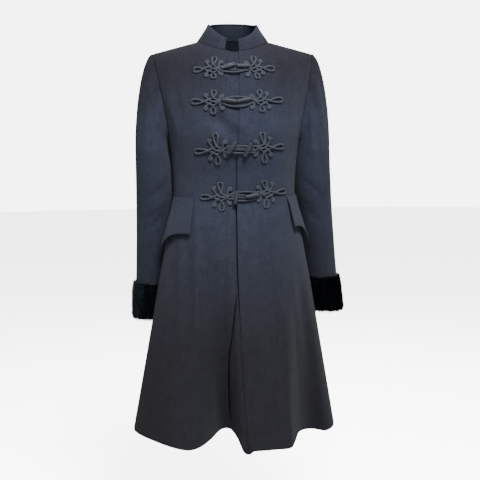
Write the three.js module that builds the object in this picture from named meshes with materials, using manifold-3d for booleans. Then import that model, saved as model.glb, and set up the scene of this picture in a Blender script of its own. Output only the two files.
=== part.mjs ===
// A tailored wool coat with a stand collar, four pairs of knotted cord frogs with toggles, hip flaps in the
// waist seam, a flared skirt and turned-back fur cuffs, hollow as it is worn. Millimetres, +Z up, the front
// faces -Y and the wearer's left is +X. The origin is midway between the shoulders, level with the point
// where the shoulder seam meets the collar.
import * as THREE from 'three';
import { mergeVertices } from 'three/addons/utils/BufferGeometryUtils.js';
import Module from 'manifold-3d';

const wasm = await Module();
wasm.setup();

// Cloth and seams
const cloth = 3; // the wool with the lining behind it
const seamGap = 0.3;
const appliqueGap = 0.6; // under the knots, which bridge the flat facets of the cloth

// Heights
const waistHeight = -368;
const underarmHeight = -235;
const fullestHeight = { front: -222, back: -165 }; // bust and shoulder blades
const hemHeight = -957;

// Shoulders, neck and armholes
const sideSeamBack = 3; // how far the side and shoulder seams lie behind the origin
const neckHalf = 83;
const neckDepth = { front: 75, back: 60 };
const neckTop = { front: 12, back: 45 }; // where each face would meet the middle of the neck
const shoulderTip = { x: 190, z: -28 };
const shoulderSpread = 215; // half-width of the dome over the shoulders, before the armholes are cut
const armholeCut = 25;
const armholeCurve = 0.55;

// Front edges: the wearer's left front lies on the right one
const lapSteps = [-18, -4, 8, 26]; // across the right front's edge, measured to the wearer's right
const lapInset = cloth + 0.7;
const frontTurn = -2; // turn of the left front's edge round the skirt
const lapTurn = 6; // turn of the right front's hidden edge
const lapDrop = 9; // how much lower the right front hangs where its edge shows
const lapDropReach = 5; // degrees either side of the left front's edge

// The body ring by ring: half-width at the side seam, and depth to the front and to the back
const bodyRings = [
  { z: -957, halfWidth: 250, front: 176, back: 190 },
  { z: -820, halfWidth: 227, front: 160, back: 166 },
  { z: -660, halfWidth: 200, front: 143, back: 140 },
  { z: -571, halfWidth: 185, front: 133, back: 125 },
  { z: -494, halfWidth: 171, front: 125, back: 113 },
  { z: -430, halfWidth: 160, front: 117, back: 102 },
  { z: -368, halfWidth: 149.5, front: 108, back: 92 },
  { z: -320, halfWidth: 151, front: 112, back: 94 },
  { z: -270, halfWidth: 155, front: 125, back: 101 },
  { z: -222, halfWidth: 163, front: 135, back: 107 },
  { z: -165, halfWidth: 176, front: 137, back: 112 },
];

// The left front's edge, seen from the front
const frontEdge = [
  { z: -368, x: -4 },
  { z: -290, x: -4 },
  { z: -222, x: -2 },
  { z: -143, x: 3 },
  { z: -20, x: 6 },
];

// The hem, fold by fold: turn is the place on the waist seam, x, y and z where that thread reaches the hem,
// and start how far down the skirt the fold begins
const hemFolds = [
  { turn: -180, x: 0, y: 196, z: -960, start: 0.2 },
  { turn: -171, x: -26, y: 166, z: -957, start: 0.3 },
  { turn: -160, x: -76, y: 200, z: -959, start: 0.3 },
  { turn: -146, x: -108, y: 148, z: -956, start: 0.25 },
  { turn: -131, x: -168, y: 163, z: -957, start: 0.25 },
  { turn: -118, x: -176, y: 98, z: -954, start: 0.15 },
  { turn: -106, x: -218, y: 70, z: -955, start: 0.15 },
  { turn: -90, x: -257, y: 12, z: -948, start: 0.1 },
  { turn: -76, x: -248, y: -44, z: -945, start: 0.1 },
  { turn: -62, x: -213, y: -101, z: -945, start: 0.25 },
  { turn: -50, x: -168, y: -146, z: -949, start: 0.35 },
  { turn: -39, x: -130, y: -166, z: -951, start: 0.3 },
  { turn: -32, x: -102, y: -153, z: -949, start: 0.3 },
  { turn: -25, x: -73, y: -116, z: -943, start: 0.25 },
  { turn: -19, x: -46, y: -74, z: -935, start: 0.25 },
  { turn: -13, x: -24, y: -74, z: -935, start: 0.25 },
  { turn: -9, x: -12, y: -114, z: -945, start: 0.25 },
  { turn: -5, x: -4, y: -166, z: -956, start: 0.25 },
  { turn: -2, x: 9, y: -176, z: -957, start: 0.25 },
  { turn: 6, x: 35, y: -176, z: -957, start: 0.3 },
  { turn: 20, x: 78, y: -172, z: -957, start: 0.35 },
  { turn: 33, x: 114, y: -164, z: -956, start: 0.3 },
  { turn: 38, x: 130, y: -126, z: -952, start: 0.3 },
  { turn: 43, x: 147, y: -78, z: -948, start: 0.3 },
  { turn: 53, x: 180, y: -48, z: -952, start: 0.3 },
  { turn: 66, x: 215, y: -58, z: -955, start: 0.35 },
  { turn: 78, x: 241, y: -30, z: -954, start: 0.35 },
  { turn: 90, x: 249, y: 14, z: -954, start: 0.3 },
  { turn: 104, x: 222, y: 72, z: -955, start: 0.15 },
  { turn: 117, x: 180, y: 104, z: -954, start: 0.15 },
  { turn: 129, x: 174, y: 160, z: -957, start: 0.25 },
  { turn: 143, x: 118, y: 152, z: -956, start: 0.25 },
  { turn: 158, x: 84, y: 203, z: -960, start: 0.3 },
  { turn: 170, x: 30, y: 170, z: -957, start: 0.3 },
  { turn: 180, x: 0, y: 196, z: -960, start: 0.2 },
];
const foldGrowth = 1.4;
const foldStep = 6.5; // degrees between columns, at the most
const rowCrowding = 1.35; // rows lie closer together near the waist

// The sleeves below the armpit: along runs from the armpit to the wrist
const sleeveTop = -260;
const armRows = [1, 0.9, 0.8, 0.64, 0.48, 0.32, 0.16, 0]; // the first three rows lie under the cuff
const swingCurve = 1.2;
const sleeveRings = [
  { along: 0, x: 198, y: 14, halfWidth: 40.5, halfDepth: 62 },
  { along: 0.17, x: 194, y: 25, halfWidth: 44.5, halfDepth: 58 },
  { along: 0.34, x: 195, y: 44, halfWidth: 44, halfDepth: 54 },
  { along: 0.52, x: 199, y: 62, halfWidth: 41, halfDepth: 51 },
  { along: 0.7, x: 202, y: 86, halfWidth: 40, halfDepth: 49 },
  { along: 0.86, x: 204, y: 104, halfWidth: 40.5, halfDepth: 48 },
  { along: 1, x: 205, y: 114, halfWidth: 41, halfDepth: 48 },
];
const arms = {
  right: { wrist: -681, swing: 2 },
  left: { wrist: -674, swing: 44 },
};
const capSpring = 0.35; // how far the sleeve head springs out from the armhole
const capDrop = 1.25; // how straight it then falls
const capRows = 6;
const capCrowding = 1.25; // draws the rows of the sleeve head towards the armhole
const sleeveSeams = [5, 13]; // front and back seam at the inside of the arm, as steps round the armhole
const armholeSteps = 16;

// Cuffs
const cuff = { thickness: 9, gap: 0.5, edge: 3, corner: 2 };

// Collar: its two ends stand back from the front edges by different amounts
const collar = {
  endRight: -25,
  endLeft: 8,
  height: { front: 27, side: 42, back: 38 },
  frontSweep: 1.6, // how late its top falls towards the ends
  lean: 0.6,
  leanAhead: 0.55, // share of the lean that runs to the front and back
  footSpread: 3,
  gap: 0.7,
};

// Hip flaps, sewn into the waist seam
const flaps = {
  right: { frontX: 103, sideTurn: 80, frontLength: 84, tipLength: 120 },
  left: { frontX: 118, sideTurn: 80, frontLength: 72, tipLength: 112 },
};
const flapLift = { top: 0.5, bottom: 13 };
const flapPoint = 3.2; // how late the bottom edge falls to its tip

// Frogs: each pair of knots, with its height and the places of their centres
const cord = 4.6;
const cordHeight = 3.6;
const frogs = [
  { name: 'first', z: -72, rightX: -56, leftX: 39, tall: 0.93 },
  { name: 'second', z: -147, rightX: -58, leftX: 49, tall: 1 },
  { name: 'third', z: -255, rightX: -51, leftX: 57, tall: 1.25 },
  { name: 'fourth', z: -363, rightX: -41, leftX: 65, tall: 1.2 },
];
const knot = {
  outer: { length: 42, crossing: 18 }, // crossing: from the middle to where the loop's cords cross
  inner: { length: 20, crossing: 12 },
  upright: { length: 28, crossing: 9.2 },
  halfWide: 5.4,
  curlPlace: 16.5,
  curlRadius: 4.4,
  curlStart: -63, // turn at the curl's free end, in degrees
  curlStep: 62,
};

// Loops: two cords side by side from each knot to the far toggle
const loopCord = 4.4;
const loopLift = seamGap + loopCord / 2;
const loopStrands = { near: 2.7, far: 8.4 };

// Toggles, from end to end, resting on the loops
const toggle = { radius: 4, end: 0.8, shoulder: 4 };
const toggleLift = loopLift + loopCord / 2 + seamGap + toggle.radius;
const toggles = [
  { frog: 'first', side: 'right', startX: -38, startZ: -74, endX: -6, endZ: -67 },
  { frog: 'first', side: 'left', startX: -2, startZ: -69.5, endX: 30, endZ: -69 },
  { frog: 'second', side: 'right', startX: -38, startZ: -144, endX: -5.5, endZ: -148.5 },
  { frog: 'second', side: 'left', startX: -3.5, startZ: -148.5, endX: 29, endZ: -142 },
  { frog: 'third', side: 'right', startX: -27, startZ: -266, endX: -9, endZ: -237 },
  { frog: 'third', side: 'left', startX: 10, startZ: -269, endX: 26, endZ: -239 },
  { frog: 'fourth', side: 'right', startX: -11, startZ: -384, endX: -4, endZ: -351 },
  { frog: 'fourth', side: 'left', startX: 14, startZ: -368, endX: 46, endZ: -360 },
];

const wool = new THREE.MeshStandardMaterial({ color: 0x2b3040, roughness: 0.9, metalness: 0 });
const fur = new THREE.MeshStandardMaterial({ color: 0x0c1014, roughness: 0.8, metalness: 0 });
const braid = new THREE.MeshStandardMaterial({ color: 0x3a4150, roughness: 0.7, metalness: 0 });
const wrapped = new THREE.MeshStandardMaterial({ color: 0x30353f, roughness: 0.55, metalness: 0 });

const sides = { right: -1, left: 1 };
const radians = THREE.MathUtils.degToRad;
const mix = THREE.MathUtils.lerp;
const smooth = (value, from, to) => THREE.MathUtils.smoothstep(value, from, to);
const point = (x, y, z) => new THREE.Vector3(x, y, z);

// Heights of the rows of points, from the waist seam up to the underarm and down to the hem
const bodiceHeights = [0, 0.2, 0.4, 0.6, 0.8].map((share) => mix(waistHeight, underarmHeight, share));
const skirtShares = Array.from({ length: 10 }, (_, row) => (1 - row / 9) ** rowCrowding);
const rowHeights = [
  ...skirtShares.map((down) => mix(waistHeight, hemHeight, down)),
  ...bodiceHeights.slice(1),
  underarmHeight,
  fullestHeight.front,
];

// One column of a table at any place between its rows, on a smooth curve through them
function read(rows, by, at, column) {
  let row = 0;
  while (row < rows.length - 2 && at > rows[row + 1][by]) row += 1;
  const slope = (index) => {
    const before = rows[Math.max(0, index - 1)];
    const after = rows[Math.min(rows.length - 1, index + 1)];
    return (after[column] - before[column]) / (after[by] - before[by]);
  };
  const span = rows[row + 1][by] - rows[row][by];
  const part = THREE.MathUtils.clamp((at - rows[row][by]) / span, 0, 1);
  const rest = 1 - part;
  return (
    rest * rest * ((1 + 2 * part) * rows[row][column] + part * span * slope(row)) +
    part * part * ((1 + 2 * rest) * rows[row + 1][column] - rest * span * slope(row + 1))
  );
}

const ringAt = (z, column) => read(bodyRings, 'z', z, column);

// Height of the shoulder line, and of the face that rises to the neck inside it
function shoulderHeight(x, face) {
  const out = Math.abs(x);
  if (out > neckHalf) return (shoulderTip.z * (out - neckHalf)) / (shoulderTip.x - neckHalf);
  return neckTop[face] * (1 - (out / neckHalf) ** 2);
}

// Half-width of the body where a face has climbed by an angle above its fullest line
function domeHalfWidth(face, climb) {
  return mix(ringAt(fullestHeight[face], 'halfWidth'), shoulderSpread, Math.sin(radians(climb)));
}

// A point of the bodice: below the fullest line level is a height, above it a climb in degrees
function bodicePoint(face, turn, level) {
  const full = fullestHeight[face];
  const away = face === 'front' ? -1 : 1;
  if (level.climb === undefined || level.climb < 0) {
    const x = ringAt(level.z, 'halfWidth') * Math.sin(radians(turn));
    return point(x, sideSeamBack + away * ringAt(level.z, face) * Math.cos(radians(turn)), level.z);
  }
  const x = domeHalfWidth(face, level.climb) * Math.sin(radians(turn));
  const depth = ringAt(full, face) * Math.cos(radians(level.climb)) * Math.cos(radians(turn));
  const z = full + (shoulderHeight(x, face) - full) * Math.sin(radians(level.climb));
  return point(x, sideSeamBack + away * depth, z);
}

// A point of the bodice with its outward normal
function bodiceCell(face, turn, level) {
  const step = (change) => ({
    climb: level.climb === undefined ? undefined : level.climb + change,
    z: level.z + change,
  });
  const across = bodicePoint(face, turn + 1, level).sub(bodicePoint(face, turn - 1, level));
  const low = level.climb >= 0 && level.climb < 1 ? level : step(-1);
  const up = bodicePoint(face, turn, step(1)).sub(bodicePoint(face, turn, low));
  const out = across.cross(up).normalize();
  if (face === 'back') out.negate();
  return { at: bodicePoint(face, turn, level), out };
}

// Climb at the underarm: below zero, because the armhole starts under the fullest line
function underarmClimb(face) {
  return face === 'front' ? -4 : -25;
}

// Level at a share of the armhole's height, 0 at the underarm and 1 at the shoulder seam
function armholeLevel(face, share) {
  const start = underarmClimb(face);
  const climb = mix(start, 90, share);
  const z = mix(fullestHeight[face], underarmHeight, climb / start);
  return { climb, z };
}

// Turn of the armhole's edge at that share
function armholeTurn(face, share) {
  const level = armholeLevel(face, share);
  const width = level.climb < 0 ? ringAt(level.z, 'halfWidth') : domeHalfWidth(face, level.climb);
  return THREE.MathUtils.radToDeg(Math.asin(1 - (armholeCut * share ** armholeCurve) / width));
}

const armholeShares = Array.from({ length: 9 }, (_, step) => (step / 8) ** 1.3);

// Climb at which a face reaches the neckline or, outside the neck, the shoulder seam
function topClimb(face, x) {
  if (Math.abs(x) >= neckHalf) return 90;
  const depth = neckDepth[face] * Math.sqrt(1 - (x / neckHalf) ** 2);
  const ahead = ringAt(fullestHeight[face], face) * Math.sqrt(1 - (x / shoulderSpread) ** 2);
  return THREE.MathUtils.radToDeg(Math.acos(depth / ahead));
}

// A bodice panel as rows of points from the waist seam up to the neckline and shoulder seam. start gives
// the near edge: its x at a height; steps are further columns beside it
function bodiceGrid(face, start, lap) {
  const neckSteps = 5;
  const shoulderSteps = 6;
  const rows = [];
  const nearX = (z) => (lap.length ? lap[lap.length - 1] : start(z));
  const firstTurn = THREE.MathUtils.radToDeg(Math.asin(nearX(0) / neckHalf));
  const topX = (column) => {
    if (column <= neckSteps) return neckHalf * Math.sin(radians(mix(firstTurn, 90, column / neckSteps)));
    return mix(neckHalf, shoulderTip.x, (column - neckSteps) / shoulderSteps);
  };
  const addRow = (level, edgeTurn, blend) => {
    const row = [];
    const above = level.climb !== undefined && level.climb >= 0;
    const width = above ? domeHalfWidth(face, level.climb) : ringAt(level.z, 'halfWidth');
    const place = (x, turn) => {
      const climb = above ? level.climb * mix(1, topClimb(face, x) / 90, blend) : level.climb;
      row.push(bodiceCell(face, turn, { climb, z: level.z }));
    };
    const armhole = (width * Math.sin(radians(edgeTurn))) / shoulderTip.x;
    const turnOf = (x) => THREE.MathUtils.radToDeg(Math.asin(Math.min(1, x / width)));
    lap.slice(0, -1).forEach((x) => place(x, turnOf(x)));
    for (let column = 0; column <= neckSteps + shoulderSteps; column += 1) {
      const low = mix(turnOf(nearX(level.z)), edgeTurn, column / (neckSteps + shoulderSteps));
      const high = turnOf(topX(column) * armhole);
      place(topX(column), mix(low, high, blend));
    }
    rows.push(row);
  };
  bodiceHeights.forEach((z) => addRow({ z }, 90, 0));
  armholeShares.forEach((share) => {
    addRow(armholeLevel(face, share), armholeTurn(face, share), smooth(share, 0.3, 1));
  });
  return rows;
}

// Place of the thread that starts at a turn of the waist seam, part of the way down the skirt
function skirtPoint(around, down) {
  const turn = THREE.MathUtils.euclideanModulo(around + 180, 360) - 180;
  const face = Math.abs(turn) <= 90 ? 'front' : 'back';
  const ring = (z, x) => ({
    x: ringAt(z, 'halfWidth') * x,
    y: sideSeamBack - ringAt(z, face) * Math.cos(radians(turn)),
  });
  const across = Math.sin(radians(turn));
  const here = ring(mix(waistHeight, hemHeight, down), across);
  const hem = ring(hemHeight, across);
  const fold = (column) => read(hemFolds, 'turn', turn, column);
  const start = fold('start');
  const grown = Math.max(0, (down - start) / (1 - start)) ** foldGrowth;
  const x = here.x + (fold('x') - hem.x) * grown;
  const y = here.y + (fold('y') - hem.y) * grown;
  return point(x, y, mix(waistHeight, fold('z'), down));
}

// A skirt panel as rows of points from the hem up, over a range of turns with a column at each fold
function skirtGrid(from, to) {
  const reach = 1;
  const dip = 0.01;
  const cell = (turn, down) => {
    const across = skirtPoint(turn + reach, down).sub(skirtPoint(turn - reach, down));
    const up = skirtPoint(turn, down - dip).sub(skirtPoint(turn, down + dip));
    return { at: skirtPoint(turn, down), out: across.cross(up).normalize(), turn, down };
  };
  const inside = hemFolds.map((fold) => fold.turn).filter((turn) => turn > from + 1 && turn < to - 1);
  const marks = [from, ...inside, to];
  const turns = marks.flatMap((turn, index) => {
    if (index === 0) return [turn];
    const span = turn - marks[index - 1];
    const parts = Math.ceil(span / foldStep);
    return Array.from({ length: parts }, (_, part) => turn - (span * (parts - 1 - part)) / parts);
  });
  return skirtShares.map((down) => turns.map((turn) => cell(turn, down)));
}

// Cells of a grid of points, each with its outward normal from its neighbours. closed joins the row's ends
function cellsOf(rows, facing, closed = false) {
  return rows.map((row, j) =>
    row.map((at, i) => {
      const last = row.length - 1;
      const next = closed ? (i + 1) % row.length : Math.min(i + 1, last);
      const before = closed ? (i + last) % row.length : Math.max(i - 1, 0);
      const across = row[next].clone().sub(row[before]);
      const up = rows[Math.min(j + 1, rows.length - 1)][i].clone().sub(rows[Math.max(j - 1, 0)][i]);
      return { at, out: across.cross(up).normalize().multiplyScalar(facing) };
    }),
  );
}

// Points of a grid of cells, with each edge drawn in by half a seam gap
function trimEdges(cells) {
  const last = cells.length - 1;
  const end = cells[0].length - 1;
  const trimmed = cells.map((row) => row.map(({ at }) => at.clone()));
  const draw = (j, i, fromJ, fromI) => {
    const inward = cells[fromJ][fromI].at.clone().sub(cells[j][i].at);
    trimmed[j][i].add(inward.setLength(seamGap / 2));
  };
  cells.forEach((_, j) => {
    draw(j, 0, j, 1);
    draw(j, end, j, end - 1);
  });
  cells[0].forEach((_, i) => {
    draw(0, i, 1, i);
    draw(last, i, last - 1, i);
  });
  return trimmed;
}

// Mesh data of a closed wall between an outer grid and an inner one
function wallGeometry(outer, inner, turned) {
  const height = outer.length;
  const width = outer[0].length;
  const positions = [...outer, ...inner].flatMap((row) => row.flatMap((corner) => corner.toArray()));
  const index = (side, j, i) => (side * height + j) * width + i;
  const faces = [];
  const quad = (a, b, c, d) => {
    if (turned) faces.push(a, c, b, a, d, c);
    else faces.push(a, b, c, a, c, d);
  };
  for (let j = 0; j < height - 1; j += 1) {
    for (let i = 0; i < width - 1; i += 1) {
      quad(index(0, j, i), index(0, j, i + 1), index(0, j + 1, i + 1), index(0, j + 1, i));
      quad(index(1, j, i), index(1, j + 1, i), index(1, j + 1, i + 1), index(1, j, i + 1));
    }
  }
  for (let i = 0; i < width - 1; i += 1) {
    quad(index(1, 0, i), index(1, 0, i + 1), index(0, 0, i + 1), index(0, 0, i));
    quad(index(0, height - 1, i), index(0, height - 1, i + 1), index(1, height - 1, i + 1), index(1, height - 1, i));
  }
  for (let j = 0; j < height - 1; j += 1) {
    quad(index(0, j, 0), index(0, j + 1, 0), index(1, j + 1, 0), index(1, j, 0));
    quad(index(1, j, width - 1), index(1, j + 1, width - 1), index(0, j + 1, width - 1), index(0, j, width - 1));
  }
  const geometry = new THREE.BufferGeometry();
  geometry.setAttribute('position', new THREE.Float32BufferAttribute(positions, 3));
  geometry.setIndex(faces);
  return geometry;
}

// A piece of cloth: its outer face is the grid of cells, its inner face lies one cloth deeper
function clothMesh(name, cells, turned) {
  const outer = trimEdges(cells);
  const inner = outer.map((row, j) =>
    row.map((corner, i) => corner.clone().addScaledVector(cells[j][i].out, -cloth)),
  );
  return namedMesh(name, wallGeometry(outer, inner, turned), wool);
}

function namedMesh(name, geometry, material) {
  const mesh = new THREE.Mesh(geometry, material);
  mesh.name = name;
  return mesh;
}

// The same cells on the wearer's other side
function mirrored(cells) {
  const flip = ({ x, y, z }) => point(-x, y, z);
  return cells.map((row) => row.map(({ at, out }) => ({ at: flip(at), out: flip(out) })));
}

// Sinks the right front's edge under the left front
function sinkLap(cells) {
  return cells.map((row) =>
    row.map((cell) => {
      const share = 1 - smooth(-cell.at.x, lapSteps[2], lapSteps[3] + 2);
      return { ...cell, at: cell.at.clone().addScaledVector(cell.out, -lapInset * share) };
    }),
  );
}

// Lets the right front hang a little lower where its edge shows beside the left one
function dropLap(cells) {
  return cells.map((row) =>
    row.map((cell) => {
      const share = 1 - smooth(Math.abs(cell.turn - frontTurn), 0, lapDropReach);
      return { ...cell, at: cell.at.clone().add(point(0, 0, -lapDrop * share * cell.down)) };
    }),
  );
}

function bodice() {
  const edgeX = (z) => read(frontEdge, 'z', z, 'x');
  const leftFront = bodiceGrid('front', edgeX, []);
  const rightFront = bodiceGrid('front', edgeX, lapSteps);
  const back = bodiceGrid('back', () => 0, []);
  return [
    clothMesh('bodice_front_left', leftFront, false),
    clothMesh('bodice_front_right', sinkLap(mirrored(rightFront)), true),
    clothMesh('bodice_back_left', back, true),
    clothMesh('bodice_back_right', mirrored(back), false),
  ];
}

function skirt() {
  return [
    clothMesh('skirt_front_left', skirtGrid(frontTurn, 90), false),
    clothMesh('skirt_front_right', dropLap(sinkLap(skirtGrid(-90, lapTurn))), false),
    clothMesh('skirt_back_left', skirtGrid(90, 180), false),
    clothMesh('skirt_back_right', skirtGrid(-180, -90), false),
  ];
}

// The armhole's edge as a closed ring of points: over the front from the shoulder tip to the underarm,
// then up the back
function armholeRing(sign) {
  const edge = (face, step) => {
    const share = armholeShares[step];
    return bodicePoint(face, armholeTurn(face, share), armholeLevel(face, share));
  };
  const ring = [];
  for (let step = 8; step >= 0; step -= 1) ring.push(edge('front', step));
  for (let step = 1; step < 8; step += 1) ring.push(edge('back', step));
  return ring.map((corner) => point(corner.x * sign, corner.y, corner.z));
}

// A ring of the hanging sleeve: round runs from the outside of the arm over its front
function sleeveRingPoint(side, along, round) {
  const arm = arms[side];
  const at = (column) => read(sleeveRings, 'along', along, column);
  const across = at('x') + arm.swing * along ** swingCurve + at('halfWidth') * Math.cos(round);
  return point(across * sides[side], at('y') - at('halfDepth') * Math.sin(round), mix(sleeveTop, arm.wrist, along));
}

// Rows of the whole sleeve from the wrist up to the armhole, closed round the arm
function sleeveRows(side) {
  const sign = sides[side];
  const ring = armholeRing(sign);
  const rows = [];
  armRows.forEach((along) => {
    rows.push(ring.map((_, step) => sleeveRingPoint(side, along, (step / armholeSteps) * 2 * Math.PI)));
  });
  const armpit = rows[rows.length - 1];
  for (let row = capRows - 1; row >= 0; row -= 1) {
    const part = (row / capRows) ** capCrowding;
    rows.push(ring.map((start, step) => capPoint(start, armpit[step], part, sign)));
  }
  return rows;
}

// The sleeve head: out of the armhole, over, and down to the armpit ring
function capPoint(start, end, part, sign) {
  const from = start.clone().add(point((seamGap / 3) * sign, 0, 0));
  const reach = from.distanceTo(end);
  const out = point(sign * capSpring * reach, 0, 0);
  const down = point(0, 0, -capDrop * reach);
  const rest = 1 - part;
  const place = from.multiplyScalar((1 + 2 * part) * rest * rest).addScaledVector(out, part * rest * rest);
  return place.addScaledVector(end, (1 + 2 * rest) * part * part).addScaledVector(down, -part * part * rest);
}

function sleeve(side) {
  const [frontSeam, backSeam] = sleeveSeams;
  const cells = cellsOf(sleeveRows(side), -sides[side], true);
  cells[cells.length - 1].forEach(({ out }) => out.setX(0).normalize());
  const strip = (steps) => cells.map((row) => steps.map((step) => row[step % armholeSteps]));
  const range = (from, to) => Array.from({ length: to - from + 1 }, (_, step) => from + step);
  const turned = side === 'left';
  return [
    clothMesh(`sleeve_${side}_under`, strip(range(frontSeam, backSeam)), turned),
    clothMesh(`sleeve_${side}_top`, strip(range(backSeam, frontSeam + armholeSteps)), turned),
  ];
}

// Fur cuff: a ring round the wrist with rounded edges, lying on the sleeve's first rows
function cuffMesh(side) {
  const [low, middle, high] = armRows;
  const { thickness, edge, corner } = cuff;
  const profile = [
    { along: middle, out: 0, up: 0 },
    { along: low, out: 0, up: 0 },
    { along: low, out: edge, up: -edge },
    { along: low, out: thickness - corner, up: 0 },
    { along: mix(low, high, 0.3), out: thickness, up: 0 },
    { along: mix(low, high, 0.7), out: thickness, up: 0 },
    { along: high, out: thickness - corner, up: 0 },
    { along: high, out: edge, up: edge },
    { along: high, out: 0, up: 0 },
  ];
  const positions = [];
  const faces = [];
  profile.forEach(({ along, out, up }) => {
    for (let step = 0; step < armholeSteps; step += 1) {
      const round = (step / armholeSteps) * 2 * Math.PI;
      const away = point(Math.cos(round) * sides[side], -Math.sin(round), 0).setLength(out + cuff.gap);
      const place = sleeveRingPoint(side, along, round).add(away);
      positions.push(place.x, place.y, place.z + up);
    }
  });
  const at = (ring, step) => (ring % profile.length) * armholeSteps + (step % armholeSteps);
  for (let ring = 0; ring < profile.length; ring += 1) {
    for (let step = 0; step < armholeSteps; step += 1) {
      const [a, b, c, d] = [at(ring, step), at(ring, step + 1), at(ring + 1, step + 1), at(ring + 1, step)];
      faces.push(a, b, c, a, c, d);
    }
  }
  return namedMesh(`cuff_${side}`, facedOut(positions, faces), fur);
}

// Geometry of a closed solid, its faces turned outward
function facedOut(positions, faces) {
  const geometry = new THREE.BufferGeometry();
  geometry.setAttribute('position', new THREE.Float32BufferAttribute(positions, 3));
  geometry.setIndex(faces);
  if (signedVolume(geometry) < 0) geometry.setIndex(faces.reverse());
  return geometry;
}

function signedVolume(geometry) {
  const place = geometry.attributes.position;
  const corner = (index) => point(place.getX(index), place.getY(index), place.getZ(index));
  const order = geometry.index.array;
  let volume = 0;
  for (let at = 0; at < order.length; at += 3) {
    volume += corner(order[at]).dot(corner(order[at + 1]).cross(corner(order[at + 2]))) / 6;
  }
  return volume;
}

// The neckline: a point of it and the direction out of the neck, by the angle from the middle of the front
function necklinePoint(angle) {
  const face = Math.cos(angle) > 0 ? 'front' : 'back';
  const x = neckHalf * Math.sin(angle);
  const climb = topClimb(face, x);
  const turn = THREE.MathUtils.radToDeg(Math.asin(x / domeHalfWidth(face, climb)));
  return bodicePoint(face, turn, { climb });
}

function collarMesh() {
  const steps = 22;
  const from = Math.asin(collar.endLeft / neckHalf);
  const to = 2 * Math.PI + Math.asin(collar.endRight / neckHalf);
  const heights = [0, 0.35, 0.7, 1];
  const rows = heights.map((share) => {
    const row = [];
    for (let step = 0; step <= steps; step += 1) {
      const angle = mix(from, to, step / steps);
      const foot = necklinePoint(angle);
      const ahead = Math.max(0, Math.cos(angle));
      const behind = Math.max(0, -Math.cos(angle));
      const { front, side, back } = collar.height;
      const tall = side + (front - side) * ahead ** collar.frontSweep + (back - side) * behind;
      const inward = collar.lean * tall * share - collar.footSpread * (1 - share) ** 2;
      const away = point(-Math.sin(angle), Math.cos(angle) * collar.leanAhead, 0).multiplyScalar(inward);
      foot.add(away);
      foot.z += collar.gap + tall * share;
      row.push({ at: foot, out: point(Math.sin(angle), -Math.cos(angle), 0) });
    }
    return row;
  });
  return clothMesh('collar', rows, false);
}

function ringDepth(x, z) {
  const across = Math.min(1, Math.abs(x) / ringAt(z, 'halfWidth'));
  return sideSeamBack - ringAt(z, 'front') * Math.sqrt(1 - across * across);
}

// Depth of the coat's front at a place seen from the front
function frontDepth(x, z) {
  const full = fullestHeight.front;
  if (z < full) {
    const above = rowHeights.findIndex((height) => height > z);
    const [low, high] = [rowHeights[above - 1], rowHeights[above]];
    return mix(ringDepth(x, low), ringDepth(x, high), (z - low) / (high - low));
  }
  const rise = Math.min(1, (z - full) / (shoulderHeight(x, 'front') - full));
  const width = mix(ringAt(full, 'halfWidth'), shoulderSpread, rise);
  return sideSeamBack - ringAt(full, 'front') * Math.sqrt((1 - rise * rise) * (1 - (x / width) ** 2));
}

// A point over the coat's front, out from the cloth along its normal
function overFront(x, z, out) {
  const reach = 2;
  const slopeX = (frontDepth(x + reach, z) - frontDepth(x - reach, z)) / (2 * reach);
  const slopeZ = (frontDepth(x, z + reach) - frontDepth(x, z - reach)) / (2 * reach);
  return point(slopeX, -1, slopeZ)
    .setLength(out)
    .add(point(x, frontDepth(x, z), z));
}

function flapMesh(side) {
  const sign = sides[side];
  const size = flaps[side];
  const across = 6;
  const down = 5;
  const topTurn = THREE.MathUtils.radToDeg(Math.asin(size.frontX / ringAt(waistHeight, 'halfWidth')));
  const rows = [];
  for (let row = down; row >= 0; row -= 1) {
    const share = row / down;
    const line = [];
    for (let column = 0; column <= across; column += 1) {
      const part = column / across;
      const length = mix(size.frontLength, size.tipLength, part ** flapPoint);
      const z = waistHeight - seamGap - length * share;
      const turn = mix(topTurn - 2 * share, size.sideTurn, part);
      const lift = flapLift.top + cloth + (flapLift.bottom - flapLift.top) * share ** 1.3 * (0.6 + 0.4 * part);
      const width = ringAt(z, 'halfWidth') + lift;
      const depth = ringAt(z, 'front') + lift;
      line.push(point(sign * width * Math.sin(radians(turn)), sideSeamBack - depth * Math.cos(radians(turn)), z));
    }
    rows.push(line);
  }
  return clothMesh(`flap_${side}`, cellsOf(rows, sign), sign < 0);
}

// Closed solid from a surface, ready to be joined to others
function toSolid(geometry) {
  const bare = geometry.clone();
  bare.deleteAttribute('normal');
  bare.deleteAttribute('uv');
  const merged = mergeVertices(bare, 1e-4);
  const vertProperties = new Float32Array(merged.attributes.position.array);
  const triVerts = new Uint32Array(merged.index.array);
  return new wasm.Manifold(new wasm.Mesh({ numProp: 3, vertProperties, triVerts }));
}

// A flat cord along a path in the plane, one cord wide
function flatCord(places, steps) {
  const section = new THREE.Shape();
  section.moveTo(0, -cord / 2);
  section.lineTo(0, cord / 2);
  section.lineTo(-cordHeight, cord / 2);
  section.lineTo(-cordHeight, -cord / 2);
  section.closePath();
  const path = new THREE.CatmullRomCurve3(places.map(([x, y]) => point(x, y, 0)));
  return toSolid(new THREE.ExtrudeGeometry(section, { steps, extrudePath: path, bevelEnabled: false }));
}

// Half of one knot loop, from its tip to the crossing at its foot; bent is +1 or -1 for the side it takes
function halfLoop({ length, crossing }, bent) {
  const { halfWide } = knot;
  const body = length - crossing;
  return [
    [length + 0.2, -bent * 1.2],
    [length - 0.06 * body, bent * halfWide * 0.6],
    [crossing + 0.62 * body, bent * halfWide],
    [crossing + 0.3 * body, bent * halfWide * 0.72],
    [crossing, 0],
  ];
}

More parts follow.
